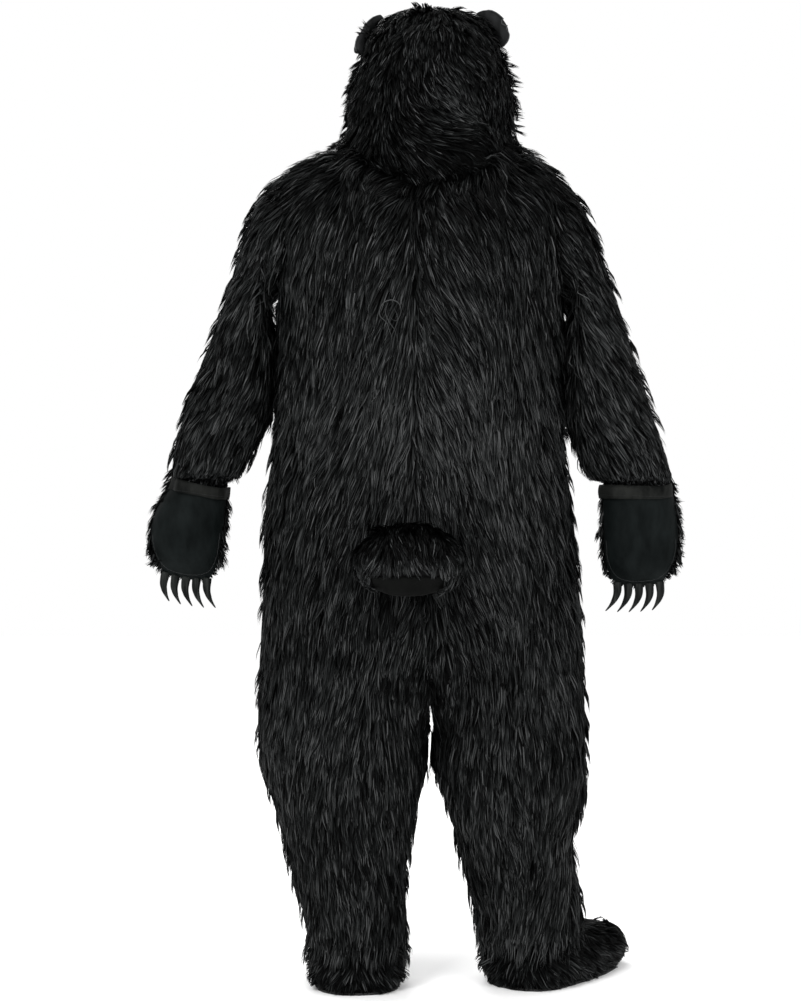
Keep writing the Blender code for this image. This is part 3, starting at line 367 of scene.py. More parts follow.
def velour_material(name, dark, light):
    made, tree, shader = material(name, light, 0.60, specular=0.04, sheen=0.01)
    brushed = noise(tree, 38.0, detail=5.0, roughness=0.6, stretch=(1.0, 1.0, 0.45))
    coloured(tree, shader, brushed, [(0.30, dark), (0.70, light)])
    nap = noise(tree, 900.0, detail=2.0)
    bump(tree, shader, nap.outputs["Fac"], 0.0004, strength=0.6)
    return made


def grained_material(name, base, roughness, specular, grain, detail, depth):
    made, tree, shader = material(name, base, roughness, specular=specular)
    bump(tree, shader, noise(tree, grain, detail=detail).outputs["Fac"], depth)
    return made


def claw_material():
    made, tree, shader = material("dark_claw", (0.012, 0.012, 0.012), roughness=0.50, specular=0.06)
    streaks = noise(tree, 160.0, detail=3.0, stretch=(1.0, 1.0, 0.12))
    coloured(tree, shader, streaks, [(0.38, (0.0015, 0.0020, 0.0020)), (0.66, (0.0160, 0.0175, 0.0165))])
    bump(tree, shader, streaks.outputs["Fac"], 0.0002, strength=0.5)
    return made


def sole_material():
    made, tree, shader = material("black_sole", (0.012, 0.012, 0.012), roughness=0.75, specular=0.3)
    dots = tree.nodes.new("ShaderNodeTexVoronoi")
    set_inputs(dots, Scale=160.0)
    place = tree.nodes.new("ShaderNodeTexCoord")
    tree.links.new(place.outputs["Object"], dots.inputs["Vector"])
    bump(tree, shader, dots.outputs["Distance"], 0.0008)
    return made


def tape_material():
    made, tree, shader = material("zip_tape", (0.008, 0.008, 0.009), roughness=0.85, specular=0.2)
    weave = tree.nodes.new("ShaderNodeTexWave")
    weave.bands_direction = "Z"
    set_inputs(weave, Scale=320.0, Distortion=0.4)
    place = tree.nodes.new("ShaderNodeTexCoord")
    tree.links.new(place.outputs["Object"], weave.inputs["Vector"])
    bump(tree, shader, weave.outputs["Fac"], 0.0003)
    return made


def metal_material():
    made, tree, shader = material("black_metal", (0.05, 0.05, 0.052), roughness=0.35, specular=0.5,
                                  metallic=0.85)
    rubbed = noise(tree, 240.0, detail=4.0)
    coloured(tree, shader, rubbed, [(0.35, (0.030, 0.030, 0.032)), (0.75, (0.085, 0.085, 0.088))])
    return made


FUR_LOOK = fur_material()
BACKING_LOOK = backing_material()
VELOUR_LOOK = velour_material("black_velour", (0.0005, 0.0012, 0.0012), (0.0042, 0.0058, 0.0058))
CUFF_LOOK = velour_material("cuff_velour", (0.0006, 0.0009, 0.0008), (0.0120, 0.0126, 0.0116))
EAR_LOOK = velour_material("ear_velour", (0.0004, 0.0005, 0.0005), (0.0120, 0.0125, 0.0130))
# A darker copy of the palms' velour for the smooth lens under the tail: painted shade
TAIL_SHADED_VELOUR = velour_material("tail_shaded_velour", (0.0003, 0.0004, 0.0003), (0.0016, 0.0018, 0.0016))
THREAD_LOOK = grained_material("black_thread", (0.014, 0.015, 0.016), roughness=0.5, specular=0.25,
                               grain=2400.0, detail=1.0, depth=0.0002)
TEETH_LOOK = grained_material("moulded_teeth", (0.012, 0.012, 0.013), roughness=0.32, specular=0.4,
                              grain=900.0, detail=2.0, depth=0.0001)
CLAW_LOOK = claw_material()
SOLE_LOOK = sole_material()
TAPE_LOOK = tape_material()
METAL_LOOK = metal_material()


# Pieces

# Each node's piece that stands for it
dressed = {}


def piece(name, mesh, look, smooth=True):
    mesh.materials.clear()
    mesh.materials.append(look)
    if smooth:
        mesh.shade_smooth()
    made = bpy.data.objects.new(name, mesh)
    bpy.context.scene.collection.objects.link(made)
    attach(made, SUIT)
    return made


def closed_mesh(name, corners, faces):
    """A mesh of closed forms, with every face turned outwards."""
    mesh = bpy.data.meshes.new(name)
    mesh.from_pydata([tuple(corner) for corner in corners], [], faces)
    shape = bmesh.new()
    shape.from_mesh(mesh)
    bmesh.ops.recalc_face_normals(shape, faces=shape.faces)
    shape.to_mesh(mesh)
    shape.free()
    return mesh


def backing(node, depth):
    """The cloth under the pile: the node's wall with its outer face drawn in."""
    shape = node_shape(node)
    faces = outer_faces(shape)
    skin = skins[node]
    moved = np.unique(np.array([[vert.index for vert in shape.faces[i].verts] for i in faces]))
    shape.verts.ensure_lookup_table()
    for i in moved:
        shape.verts[i].co -= Vector(skin.normals[i]) * depth
    mesh = bpy.data.meshes.new(node + "_cloth")
    shape.to_mesh(mesh)
    shape.free()
    made = piece(node + "_cloth", mesh, BACKING_LOOK)
    mesh.set_sharp_from_angle(angle=SHARP_ANGLE)
    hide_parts(node)
    dressed[node] = made
    return made


# Which way the fur lies

def box_of(node):
    """The low and high corners and the middle of a node's box."""
    low, high = (np.array(corner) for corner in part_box(node))
    return low, high, (low + high) / 2.0


def body_flow(points, normals, side):
    """Down, combed outwards from the centre back, and tousled over the shoulders."""
    x, z = points[:, 0], points[:, 2]
    middle = np.where(z > HIP_LEVEL, SEAM_LINE, HOOD_MIDDLE)
    beside = np.abs(x - middle)
    comb = np.exp(-beside / COMB["reach"]) * (1.0 - np.exp(-beside / COMB["parting"])) * COMB["share"]
    comb *= np.sign(x - middle) * np.clip((z - CROTCH_LEVEL) / COMB["fade"], 0.0, 1.0)
    ruffle = np.clip((z - SHOULDER_BAND) / RUFFLE["fade"], 0.0, 1.0)
    tangle = RUFFLE["least"] + RUFFLE["more"] * ruffle
    across = comb + tangle * sway(points, "body_across") + SIDES[side] * COMB["outwards"]
    flow = np.stack([across, sway(points, "body_depth"), -np.ones(len(points))], axis=1)
    flow += normals * (RUFFLE["rise"] * ruffle)[:, None]
    return flow, 1.0 + RUFFLE["longer"] * ruffle


def sleeve_flow(points, normals, side):
    """Down the arm and a little outwards, shorter where the sleeve ends."""
    flow = np.stack([
        SIDES[side] * SLEEVE["outwards"] + sway(points, "sleeve_across"),
        sway(points, "sleeve_depth"),
        np.full(len(points), -SLEEVE["down"]),
    ], axis=1)
    room = (points[:, 2] - SLEEVE_END[side]) / (FUR["sleeve_" + side]["length"] * SLEEVE["room"])
    return flow, np.clip(room, SLEEVE["least"], 1.0)


def hood_flow(points, normals, side):
    """Down and away from the crown, swept aside behind, and longer towards the neck."""
    radial = np.stack([points[:, 0] - HOOD_MIDDLE, points[:, 1], np.zeros(len(points))], axis=1)
    spread = np.clip(normals[:, 2:3], 0.0, 1.0)
    low = np.clip((HOOD["low"] - points[:, 2]) / HOOD["fade"], 0.0, 1.0)
    out = HOOD["out"] + spread + HOOD["low_out"] * low[:, None]
    flow = unit(radial) * out - UP * (HOOD["down"] - spread)
    swept = spot(points, *SWEEP["place"]) * np.clip(points[:, 1] / HOOD["behind"], 0.0, 1.0)
    flow[:, 0] += SWEEP["across"] * swept + sway(points, "hood_across")
    flow[:, 1] += sway(points, "hood_depth")
    flow[:, 2] += SWEEP["up"] * swept
    return flow, HOOD["length"] + HOOD["longer"] * low


def mitt_flow(points, normals, side):
    """Outwards round the palm's edge, and short where the claws are."""
    low, high, middle = box_of(f"mitt_{side}_back")
    flow = np.stack([
        MITT["outwards"] * (points[:, 0] - middle[0]) / (high[0] - middle[0]) + sway(points, "mitt_across"),
        sway(points, "mitt_depth"),
        -np.ones(len(points)),
    ], axis=1)
    return flow, np.clip((points[:, 2] - low[2] - MITT["bare"]) / MITT["fade"], MITT["least"], 1.0)


def foot_flow(points, normals, side):
    """Swept sideways over the foot, shorter towards the sole."""
    height = points[:, 2] - FLOOR
    low, high, middle = box_of(f"foot_{side}_sole")
    width = high[0] - low[0]
    parting = low[0] + width * FOOT["parting"][side]
    flow = np.stack([
        FOOT["outwards"] * (points[:, 0] - parting) / (0.5 * width) + sway(points, "foot_across"),
        sway(points, "foot_depth") - FOOT["forwards"],
        np.full(len(points), -FOOT["down"]),
    ], axis=1)
    return flow, FOOT["least"] + (1.0 - FOOT["least"]) * np.clip(height / FOOT["fade"], 0.0, 1.0)


def tail_flow(points, normals, side):
    """Back and down over the tail's end."""
    flow = np.stack([
        TAIL["outwards"] * (points[:, 0] - TAIL_MIDDLE) / TAIL["half"] + sway(points, "tail_across"),
        np.full(len(points), TAIL["back"]),
        np.full(len(points), -TAIL["down"]),
    ], axis=1)
    high = points[:, 2] > TAIL_LENS["low"] + TAIL_LENS["hang"]
    return flow, np.where(high, TAIL["long"], TAIL["short"])


FLOWS = dict(body=body_flow, sleeve=sleeve_flow, hood=hood_flow, mitt=mitt_flow, foot=foot_flow,
             tail=tail_flow)


def laid(points, heights):
    """The points moved along the surface's normals until each is at its height over the nearest skin."""
    moved = points.copy()
    for i, point in enumerate(points):
        place, normal, index, distance = all_skins.find_nearest(point)
        height = (Vector(point) - place).dot(normal)
        moved[i] += np.array(normal) * (heights[i] - height)
    return moved


def extra_lift(points):
    """How much farther the fur stands out between arm and body, at the neck and at the leg hems."""
    x, z = np.abs(points[:, 0]), points[:, 2]
    beside = (x > ARM_SPACE["inner"]) & (x < ARM_SPACE["outer"])
    level = (z > ARM_SPACE["low"]) & (z < ARM_SPACE["high"])
    lift = ARM_SPACE["lift"] * (beside & level)
    ruff = np.exp(-((z - RUFF["level"]) / RUFF["reach"]) ** 2)
    lift = lift + RUFF["lift"] * ruff * (np.abs(points[:, 0] - HOOD_MIDDLE) > RUFF["from_side"])
    lift += HEM["lift"] * np.exp(-((z - HEM["level"]) / HEM["reach"]) ** 2)
    return lift * RANDOM.uniform(*EXTRA_SPREAD, len(points))


def tone(points, kind):
    """How light a kind of fur is at each place, before a lock's own chance; some is painted shadow and light.
    """
    light = MIDDLE_TONE + sway(points, "tone_patches") + sway(points, "tone_flecks")
    # Spots of tone, some of them painted shadow and painted light
    for *place, lighter, behind in SPOTS.get(kind, []):
        light += lighter * spot(points, *place) * ((points[:, 1] > 0.0) | (not behind))
    # Steps: on the feet and the tail the darkness beyond a level is painted shadow
    if kind in STEPS:
        lighter, more, level, height = STEPS[kind]
        light += lighter + more * np.clip((points[:, 2] - level) / height, 0.0, 1.0)
    return light


def locks(node):
    """Tapered locks of fur over a node: they rise from the cloth and lie down along the flow."""
    size = FUR[node]
    side = "left" if "left" in node else "right"
    roots, normals = skins[node].spread(size["locks"])
    beside_lens = np.abs(roots[:, 0] - TAIL_MIDDLE) > TAIL_LENS["half"]
    if node == "tail_under":
        keep = beside_lens
    elif node == "tail_top":
        keep = beside_lens | (roots[:, 2] > TAIL_LENS["low"])
    else:
        keep = np.ones(len(roots), bool)
    roots, normals = roots[keep], normals[keep]
    count = len(roots)
    flow, longer = FLOWS[size["flow"]](roots, normals, side)
    flow = flow + RANDOM.normal(size=(count, 3)) * LOCK_TURN
    flow = unit(flow - normals * (flow * normals).sum(axis=1)[:, None])
    length = size["length"] * longer * RANDOM.uniform(*LENGTH_SPREAD, count)

    centres = RANDOM.choice(count, size=max(1, count // LOCKS_PER_CLUMP), replace=False)
    finder = KDTree(len(centres))
    for order, centre in enumerate(centres):
        finder.insert(roots[centre], order)
    finder.balance()
    clump = np.array([finder.find(root)[1] for root in roots])
    clump_turn = RANDOM.normal(size=(len(centres), 3)) * CLUMP_TURN
    clump_tip = roots[centres] + unit(flow[centres] + clump_turn) * length[centres][:, None]
    tuft = (RANDOM.random(len(centres)) < TUFT_SHARE) * RANDOM.uniform(*TUFT_SPREAD, len(centres))
    clump_tone = RANDOM.normal(size=len(centres)) * CLUMP_TONE
    pull = RANDOM.uniform(*PULL_SPREAD, count)[:, None]

    lift = size["lift"] * RANDOM.uniform(*LIFT_SPREAD, count)
    lift += size["tuft"] * tuft[clump] * np.minimum(longer, 1.0)
    if size["flow"] != "foot":
        lift += extra_lift(roots)
    own_tip = roots + flow * length[:, None]
    tip = own_tip * (1.0 - pull) + clump_tip[clump] * pull
    places = []
    for station in STATIONS:
        if station == 0.0:
            places.append(roots - normals * size["pile"])
            continue
        straight = roots + flow * (length * station)[:, None]
        bent = straight * (1.0 - station) + (roots + (tip - roots) * station) * station
        rise = 1.0 - (1.0 - station) ** 2
        places.append(laid(bent, -size["pile"] + (size["pile"] + lift) * rise))

    heading = unit(places[-1] - places[0])
    flat = unit(np.cross(heading, normals))
    roll = RANDOM.normal(size=count) * LOCK_ROLL
    flat = flat * np.cos(roll)[:, None] + unit(np.cross(flat, heading)) * np.sin(roll)[:, None]
    half = size["width"] / 2.0 * RANDOM.uniform(*WIDTH_SPREAD, count)[:, None]
    rows = []
    for place, share in zip(places, TAPER):
        rows += [place - flat * half * share, place + flat * half * share]
    rows.append(places[-1])
    corners = np.stack(rows, axis=1)
    corners[:, :, 2] = np.maximum(corners[:, :, 2], FLOOR + ABOVE_FLOOR)

    light = tone(roots, size["flow"]) + clump_tone[clump] + RANDOM.normal(size=count) * LOCK_TONE
    # Each blade gets painted shade at its root and a painted highlight towards its tip
    shades = np.clip(light[:, None] + BLADE_PAINTED_SHADING, 0.0, 1.0)
    name = node + "_fur"
    return piece(name, blades(name, corners, shades), FUR_LOOK)


def blades(name, corners, shades):
    """A mesh of blades, from each one's corners and how light they are."""
    order = np.arange(len(corners))[:, None]
    loops = (order * BLADE_CORNERS + BLADE_LOOPS).ravel()
    polygons = (order * len(BLADE_LOOPS) + BLADE_STARTS).ravel()
    mesh = bpy.data.meshes.new(name)
    mesh.vertices.add(len(corners) * BLADE_CORNERS)
    mesh.vertices.foreach_set("co", corners.reshape(-1))
    mesh.loops.add(len(loops))
    mesh.loops.foreach_set("vertex_index", loops)
    mesh.polygons.add(len(polygons))
    mesh.polygons.foreach_set("loop_start", polygons)
    mesh.update(calc_edges=True)
    shade = mesh.attributes.new("shade", "FLOAT", "POINT")
    shade.data.foreach_set("value", shades.ravel())
    return mesh


skins = {node: Skin(node) for node in FUR}
all_points = np.concatenate([skin.points for skin in skins.values()])
offsets = np.cumsum([0] + [len(skin.points) for skin in skins.values()])
all_triangles = np.concatenate([skin.triangles + offset for skin, offset in zip(skins.values(), offsets)])
all_skins = BVHTree.FromPolygons(all_points.tolist(), all_triangles.tolist())

for node, size in FUR.items():
    fur = locks(node)
    if node != "tail_under":
        fur.parent = backing(node, size["pile"])


# Velour, claws and soles

CLAW = dict(count=5, flesh=0.0016, rate=2.5, least=0.45, root=0.0055, root_from=0.8)
GATHER = dict(reach=0.030, depth=0.0016, stretch=np.array([1.0, 1.0, 0.25]))
CUFF = dict(proud=0.0022, roll=0.0034, facing=4.0, hang=0.0105)

# Small soft dents: how deep, the size of the coarse and the fine ones, and how they share the depth
DENTS = {
    "palm": dict(depth=0.0008, coarse=0.05, fine=0.016),
    "ear": dict(depth=0.0005, coarse=0.02, fine=0.02 / 3.0),
    "tail": dict(depth=0.0010, coarse=0.03, fine=0.03 / 3.0),
}
COARSE_SHARE = 0.6
COARSE_SEED = 61
FINE_SEED = 67

# The stitches' size and corners, then how the seams of palm and cuff are found by rays
STITCH = dict(length=0.0030, width=0.0009, height=0.0006)
STITCH_CORNERS = ((-0.5, 0, 0), (0, -0.5, 0), (0.5, 0, 0), (0, 0.5, 0), (0, 0, 1), (0, 0, -0.6))
PALM_SEAM = dict(count=110, radii=(0.02, 0.12, 0.001), start=0.05, rim_depth=0.034)
CUFF_SEAM = dict(count=84, drop=0.013, start=0.2, tilt={"left": 0.14, "right": 0.02})


def refined(node, look, levels=2, shaping=None):
    """A finer copy of a node that stands for it, its points moved by shaping(points, normals)."""
    shape = node_shape(node)
    bmesh.ops.join_triangles(shape, faces=shape.faces, angle_face_threshold=0.7, angle_shape_threshold=0.8)
    crease = shape.edges.layers.float.new("crease_edge")
    for edge in shape.edges:
        if len(edge.link_faces) == 2 and edge.calc_face_angle(0.0) > SHARP_ANGLE:
            edge[crease] = 1.0
    mesh = bpy.data.meshes.new(node + "_dressed")
    shape.to_mesh(mesh)
    shape.free()
    made = piece(node + "_dressed", mesh, look)
    change = made.modifiers.new("rounding", "SUBSURF")
    change.levels = levels
    change.render_levels = levels
    fine = bpy.data.meshes.new_from_object(made.evaluated_get(bpy.context.evaluated_depsgraph_get()))
    made.modifiers.clear()
    made.data = fine
    if shaping:
        points = np.array([vert.co for vert in fine.vertices])
        normals = np.array([vert.normal for vert in fine.vertices])
        fine.vertices.foreach_set("co", shaping(points, normals).ravel())
        fine.update()
    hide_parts(node)
    dressed[node] = made
    return made


def fuller(points, normals):
    """A claw with the flesh that rounding takes away put back, less towards its tip."""
    height = (points[:, 2] - points[:, 2].min()) / np.ptp(points[:, 2])
    flesh = CLAW["flesh"] * np.clip(height * CLAW["rate"], CLAW["least"], 1.0)
    moved = points + normals * flesh[:, None]
    moved[:, 2] += CLAW["root"] * np.clip((height - CLAW["root_from"]) / (1.0 - CLAW["root_from"]), 0.0, 1.0)
    return moved


def dents(points, kind):
    """How far a kind of small soft dents moves each point along its normal."""
    dent = DENTS[kind]
    soft = COARSE_SHARE * wander(points, dent["coarse"], COARSE_SEED)
    soft += (1.0 - COARSE_SHARE) * wander(points, dent["fine"], FINE_SEED)
    return dent["depth"] * (soft - 1.0)


def puckered(kind):
    """A shaping that presses a kind of dents into a surface."""
    def shaping(points, normals):
        return points + normals * dents(points, kind)[:, None]
    return shaping


def palm_shape(points, normals):
    """Dents all over the palm, and gathers that run down from the cuff's seam."""
    gather = np.exp((points[:, 2] - points[:, 2].max()) / GATHER["reach"])
    folds = sway(points * GATHER["stretch"], "palm_folds")
    depth = dents(points, "palm") + GATHER["depth"] * gather * (folds - 1.0)
    return points + normals * depth[:, None]


def cuff_shape(points, normals):
    """The cuff's band is rolled and puckered, waves at the top, and hangs over the palm's edge."""
    middle = (points.min(axis=0) + points.max(axis=0)) / 2.0
    height = points[:, 2] - points[:, 2].min()
    share = height / height.max()
    outwards = points - middle
    outwards[:, 2] = 0.0
    outwards = unit(outwards)
    outer = np.clip((normals * outwards).sum(axis=1) * CUFF["facing"], 0.0, 1.0)
    roll = CUFF["proud"] + CUFF["roll"] * np.sin(math.pi * share) * (1.0 + sway(points, "cuff_roll"))
    moved = points + outwards * (outer * (roll + sway(points, "cuff_pucker")))[:, None]
    moved[:, 2] += share ** 2 * sway(outwards, "cuff_wave")
    moved[:, 2] -= CUFF["hang"] * (1.0 - share) * (1.0 + sway(outwards, "cuff_hang"))
    return moved


def stitches(name, places, normals):
    """A row of short raised stitches along a path."""
    headings = unit(np.roll(places, -1, axis=0) - places)
    sides = unit(np.cross(normals, headings))
    corners = []
    for along, across, up in STITCH_CORNERS:
        corners.append(places + headings * STITCH["length"] * along + sides * STITCH["width"] * across
                       + normals * STITCH["height"] * up)
    count = len(corners)
    corners = np.stack(corners, axis=1).reshape(-1, 3)
    faces = []
    for start in range(0, len(corners), count):
        for k in range(4):
            low, high = start + k, start + (k + 1) % 4
            faces += [(low, high, start + 4), (high, low, start + 5)]
    mesh = bpy.data.meshes.new(name)
    mesh.from_pydata(corners.tolist(), [], faces)
    return piece(name, mesh, THREAD_LOOK, smooth=False)


def surface(made):
    """A piece's faces, to be struck by rays."""
    points = [vert.co for vert in made.data.vertices]
    return BVHTree.FromPolygons(points, [face.vertices for face in made.data.polygons])


def palm_seam(side):
    """Stitches just inside the palm's outline, seen from behind."""
    low, high, middle = box_of(f"mitt_{side}_palm")
    tree = surface(dressed[f"mitt_{side}_palm"])
    places, normals = [], []
    for angle in np.linspace(math.pi, 2.0 * math.pi, PALM_SEAM["count"]):
        reach = None
        for radius in np.arange(*PALM_SEAM["radii"]):
            x = middle[0] + radius * math.cos(angle)
            z = middle[2] + radius * math.sin(angle)
            start = Vector((x, high[1] + PALM_SEAM["start"], z))
            place, normal, index, distance = tree.ray_cast(start, FORWARDS)
            if place is None or distance > PALM_SEAM["start"] + PALM_SEAM["rim_depth"]:
                break
            reach = (place, normal)
        if reach:
            places.append(reach[0])
            normals.append(reach[1])
    return stitches(f"mitt_{side}_seam", np.array(places)[:-1], np.array(normals)[:-1])


def cuff_seam(side):
    """Stitches round the cuff's lower edge."""
    low, high, middle = box_of(f"mitt_{side}_cuff")
    tree = surface(dressed[f"mitt_{side}_cuff"])
    places, normals = [], []
    for angle in np.linspace(0.0, 2.0 * math.pi, CUFF_SEAM["count"], endpoint=False):
        way = Vector((math.cos(angle), math.sin(angle), 0.0))
        level = middle[2] - CUFF_SEAM["drop"] + CUFF_SEAM["tilt"][side] * way.x * (high[0] - middle[0])
        start = Vector((middle[0], middle[1], level)) + way * CUFF_SEAM["start"]
        place, normal, index, distance = tree.ray_cast(start, -way)
        if place is not None:
            places.append(place)
            normals.append(normal)
    return stitches(f"mitt_{side}_cuff_seam", np.array(places), np.array(normals))


for side in SIDES:
    palm = refined(f"mitt_{side}_palm", VELOUR_LOOK, shaping=palm_shape)
    cuff = refined(f"mitt_{side}_cuff", CUFF_LOOK, shaping=cuff_shape)
    palm_seam(side).parent = palm
    cuff_seam(side).parent = cuff
    for layer in ("back", "front"):
        refined(f"ear_{side}_{layer}", EAR_LOOK, shaping=puckered("ear"))
    for number in range(1, CLAW["count"] + 1):
        refined(f"claw_{side}_{number}", CLAW_LOOK, shaping=fuller)
    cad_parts[f"foot_{side}_sole"].data.materials[0] = SOLE_LOOK
# The tail's lens, in the darker velour that paints the shade under the tail
refined("tail_under", TAIL_SHADED_VELOUR, shaping=puckered("tail"))

zip_tape = refined("zip", TAPE_LOOK, levels=1)
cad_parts["zip_slider"].data.materials[0] = METAL_LOOK
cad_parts["zip_pull"].data.materials[0] = METAL_LOOK


# Zip teeth

TOOTH = dict(pitch=0.0032, wide=0.0030, long=0.0013, height=0.0010, offset=0.0009, margin=0.006,
             root=0.0002, top=0.7, start=0.05)

# Where a tooth's place on the tape is looked for: beside the tape's middle, or else across the frame
TOOTH_BESIDE = (0.0, -0.004, 0.004)
TOOTH_ACROSS = (0.0, -0.008)


def teeth():
    """Two rows of small moulded teeth that mesh down the middle of the tape."""
    tree = surface(zip_tape)
    low, high, middle = box_of("zip")
    tries = [middle[0] + beside for beside in TOOTH_BESIDE] + list(TOOTH_ACROSS)
    corners, faces = [], []
    count = int((high[2] - low[2] - 2.0 * TOOTH["margin"]) / TOOTH["pitch"])
    for order in range(2 * count):
        sign = 1.0 if order % 2 else -1.0
        level = low[2] + TOOTH["margin"] + TOOTH["pitch"] * order / 2.0
        for x in tries:
            start = Vector((x, low[1] - TOOTH["start"], level))
            place, normal, index, distance = tree.ray_cast(start, -FORWARDS)
            if place is not None:
                break
        if place is None:
            continue
        centre = np.array(place) + ACROSS * sign * TOOTH["offset"]
        away = np.array(normal)
        down = unit(np.cross(away, ACROSS))
        base = len(corners)
        for up, shrink in ((-TOOTH["root"], 1.0), (TOOTH["height"], TOOTH["top"])):
            for a, b in ((-1, -1), (1, -1), (1, 1), (-1, 1)):
                across = ACROSS * a * TOOTH["wide"] / 2.0 * shrink
                corners.append(centre + across + down * b * TOOTH["long"] / 2.0 * shrink + away * up)
        faces += [(base + 3, base + 2, base + 1, base), (base + 4, base + 5, base + 6, base + 7)]
        for k in range(4):
            n = (k + 1) % 4
            faces.append((base + k, base + n, base + 4 + n, base + 4 + k))
    mesh = closed_mesh("zip_teeth", corners, faces)
    return piece("zip_teeth", mesh, TEETH_LOOK, smooth=False)


teeth().parent = zip_tape


# Loose wisps and piping

BEHIND_BODY = 0.6
CORD_SIDES = 5
NUDGE = 1e-6
INSIDE_END = 1.0001
PIPING = dict(radius=0.0014, stops=40, near=0.2)

# The curled wisp on the upper back: how light each strand is, and its places across and up the back
CURL = dict(radius=0.0011, steps=44, height=0.009, thickest=0.4, taper=1.70, thinnest=0.12)
CURLS = {
    "curl_loop": (0.92, [
        (0.052, -0.268), (0.062, -0.240), (0.0745, -0.226), (0.0700, -0.206), (0.0540, -0.1985),
        (0.0400, -0.205), (0.0360, -0.221), (0.0450, -0.236), (0.0560, -0.229), (0.0620, -0.216)]),
    "curl_tail": (0.86, [
        (0.0600, -0.204), (0.0640, -0.222), (0.0560, -0.240), (0.0470, -0.254), (0.0400, -0.279)]),
    "curl_end": (0.80, [
        (0.0480, -0.214), (0.0420, -0.232), (0.0470, -0.250), (0.0530, -0.266), (0.0520, -0.281)]),
}


def over_skin(x, z, height):
    """A place over the fur's face behind the body."""
    place, normal, index, distance = all_skins.ray_cast(Vector((x, BEHIND_BODY, z)), FORWARDS)
    return np.array(place) + BACKWARDS * height


def smooth_path(knots, count):
    """A smooth curve through the knots."""
    knots = np.array(knots)
    ends = np.concatenate([2.0 * knots[:1] - knots[1:2], knots, 2.0 * knots[-1:] - knots[-2:-1]])
    path = []
    for place in np.linspace(0.0, len(knots) - INSIDE_END, count):
        k = int(place)
        t = place - k
        a, b, c, d = ends[k:k + 4]
        square = (2 * a - 5 * b + 4 * c - d) * t ** 2
        cube = (3 * b - a - 3 * c + d) * t ** 3
        path.append(0.5 * (2 * b + (c - a) * t + square + cube))
    return np.array(path)


def tube(name, path, radii, look, light=0.5, closed=False):
    """A thin round cord along a path."""
    ahead = np.roll(path, -1, axis=0) - np.roll(path, 1, axis=0) if closed else np.gradient(path, axis=0)
    headings = unit(ahead)
    sides = unit(np.cross(headings, BACKWARDS) + NUDGE)
    ups = unit(np.cross(sides, headings))
    around = 2.0 * math.pi * np.arange(CORD_SIDES) / CORD_SIDES
    corners, faces = [], []
    for place, side_way, up_way, radius in zip(path, sides, ups, radii):
        corners += [place + radius * (side_way * math.cos(turn) + up_way * math.sin(turn)) for turn in around]
    count = len(path)
    for order in range(count if closed else count - 1):
        after = (order + 1) % count
        for k in range(CORD_SIDES):
            n = (k + 1) % CORD_SIDES
            first, second = order * CORD_SIDES, after * CORD_SIDES
            faces.append((first + k, first + n, second + n, second + k))
    if not closed:
        faces += [tuple(reversed(range(CORD_SIDES))), tuple(range(len(corners) - CORD_SIDES, len(corners)))]
    mesh = bpy.data.meshes.new(name)
    mesh.from_pydata([tuple(corner) for corner in corners], [], faces)
    shade = mesh.attributes.new("shade", "FLOAT", "POINT")
    shade.data.foreach_set("value", np.full(len(corners), light))
    return piece(name, mesh, look)


def piping(side):
    """A corded seam round the ear's rim."""
    points = np.concatenate([
        np.array([vert.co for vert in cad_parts[f"ear_{side}_{layer}"].data.vertices])
        for layer in ("back", "front")
    ])
    middle = points.mean(axis=0)
    axes = np.linalg.eigh(np.cov((points - middle).T))[1]
    flat = (points - middle) @ axes[:, 1:]
    turns = np.arctan2(flat[:, 1], flat[:, 0])
    rim = []
    for turn in np.linspace(-math.pi, math.pi, PIPING["stops"], endpoint=False):
        near = np.abs(np.angle(np.exp(1j * (turns - turn)))) < PIPING["near"]
        if near.any():
            rim.append(points[near][np.hypot(*flat[near].T).argmax()])
    rim = np.array(rim)
    rim = (np.roll(rim, 1, axis=0) + 2.0 * rim + np.roll(rim, -1, axis=0)) / 4.0
    radii = np.full(len(rim), PIPING["radius"])
    return tube(f"ear_{side}_piping", rim, radii, THREAD_LOOK, closed=True)


for side in SIDES:
    piping(side).parent = dressed[f"ear_{side}_back"]

shares = np.linspace(0.0, 1.0, CURL["steps"])
thickness = np.clip(1.0 - CURL["taper"] * np.abs(shares - CURL["thickest"]), CURL["thinnest"], 1.0)
for name, (light, places) in CURLS.items():
    path = smooth_path([over_skin(x, z, CURL["height"]) for x, z in places], CURL["steps"])
    wisp = tube(name, path, CURL["radius"] * thickness, FUR_LOOK, light)
    wisp.parent = dressed["back_left"]


# Fringes along the edges

# A fringe's locks: how many make a tuft and their half width, how deep they are sunk, how far each
# tuft's heading, reach and locks stray, and how they sag and how light they are
TUFT = dict(locks=7, half=0.0009, sunk=0.010, light=0.30, light_spread=0.16, sag=0.16, level=0.6)
HEADING_SPREAD = np.array([0.30, 0.25, 0.30])
REACH_SPREAD = (0.55, 1.15)
ALONG_SPREAD = 0.45
ROOT_SPREAD = np.array([0.0015, 0.008, 0.0015])
TIP_SPREAD = 0.0016

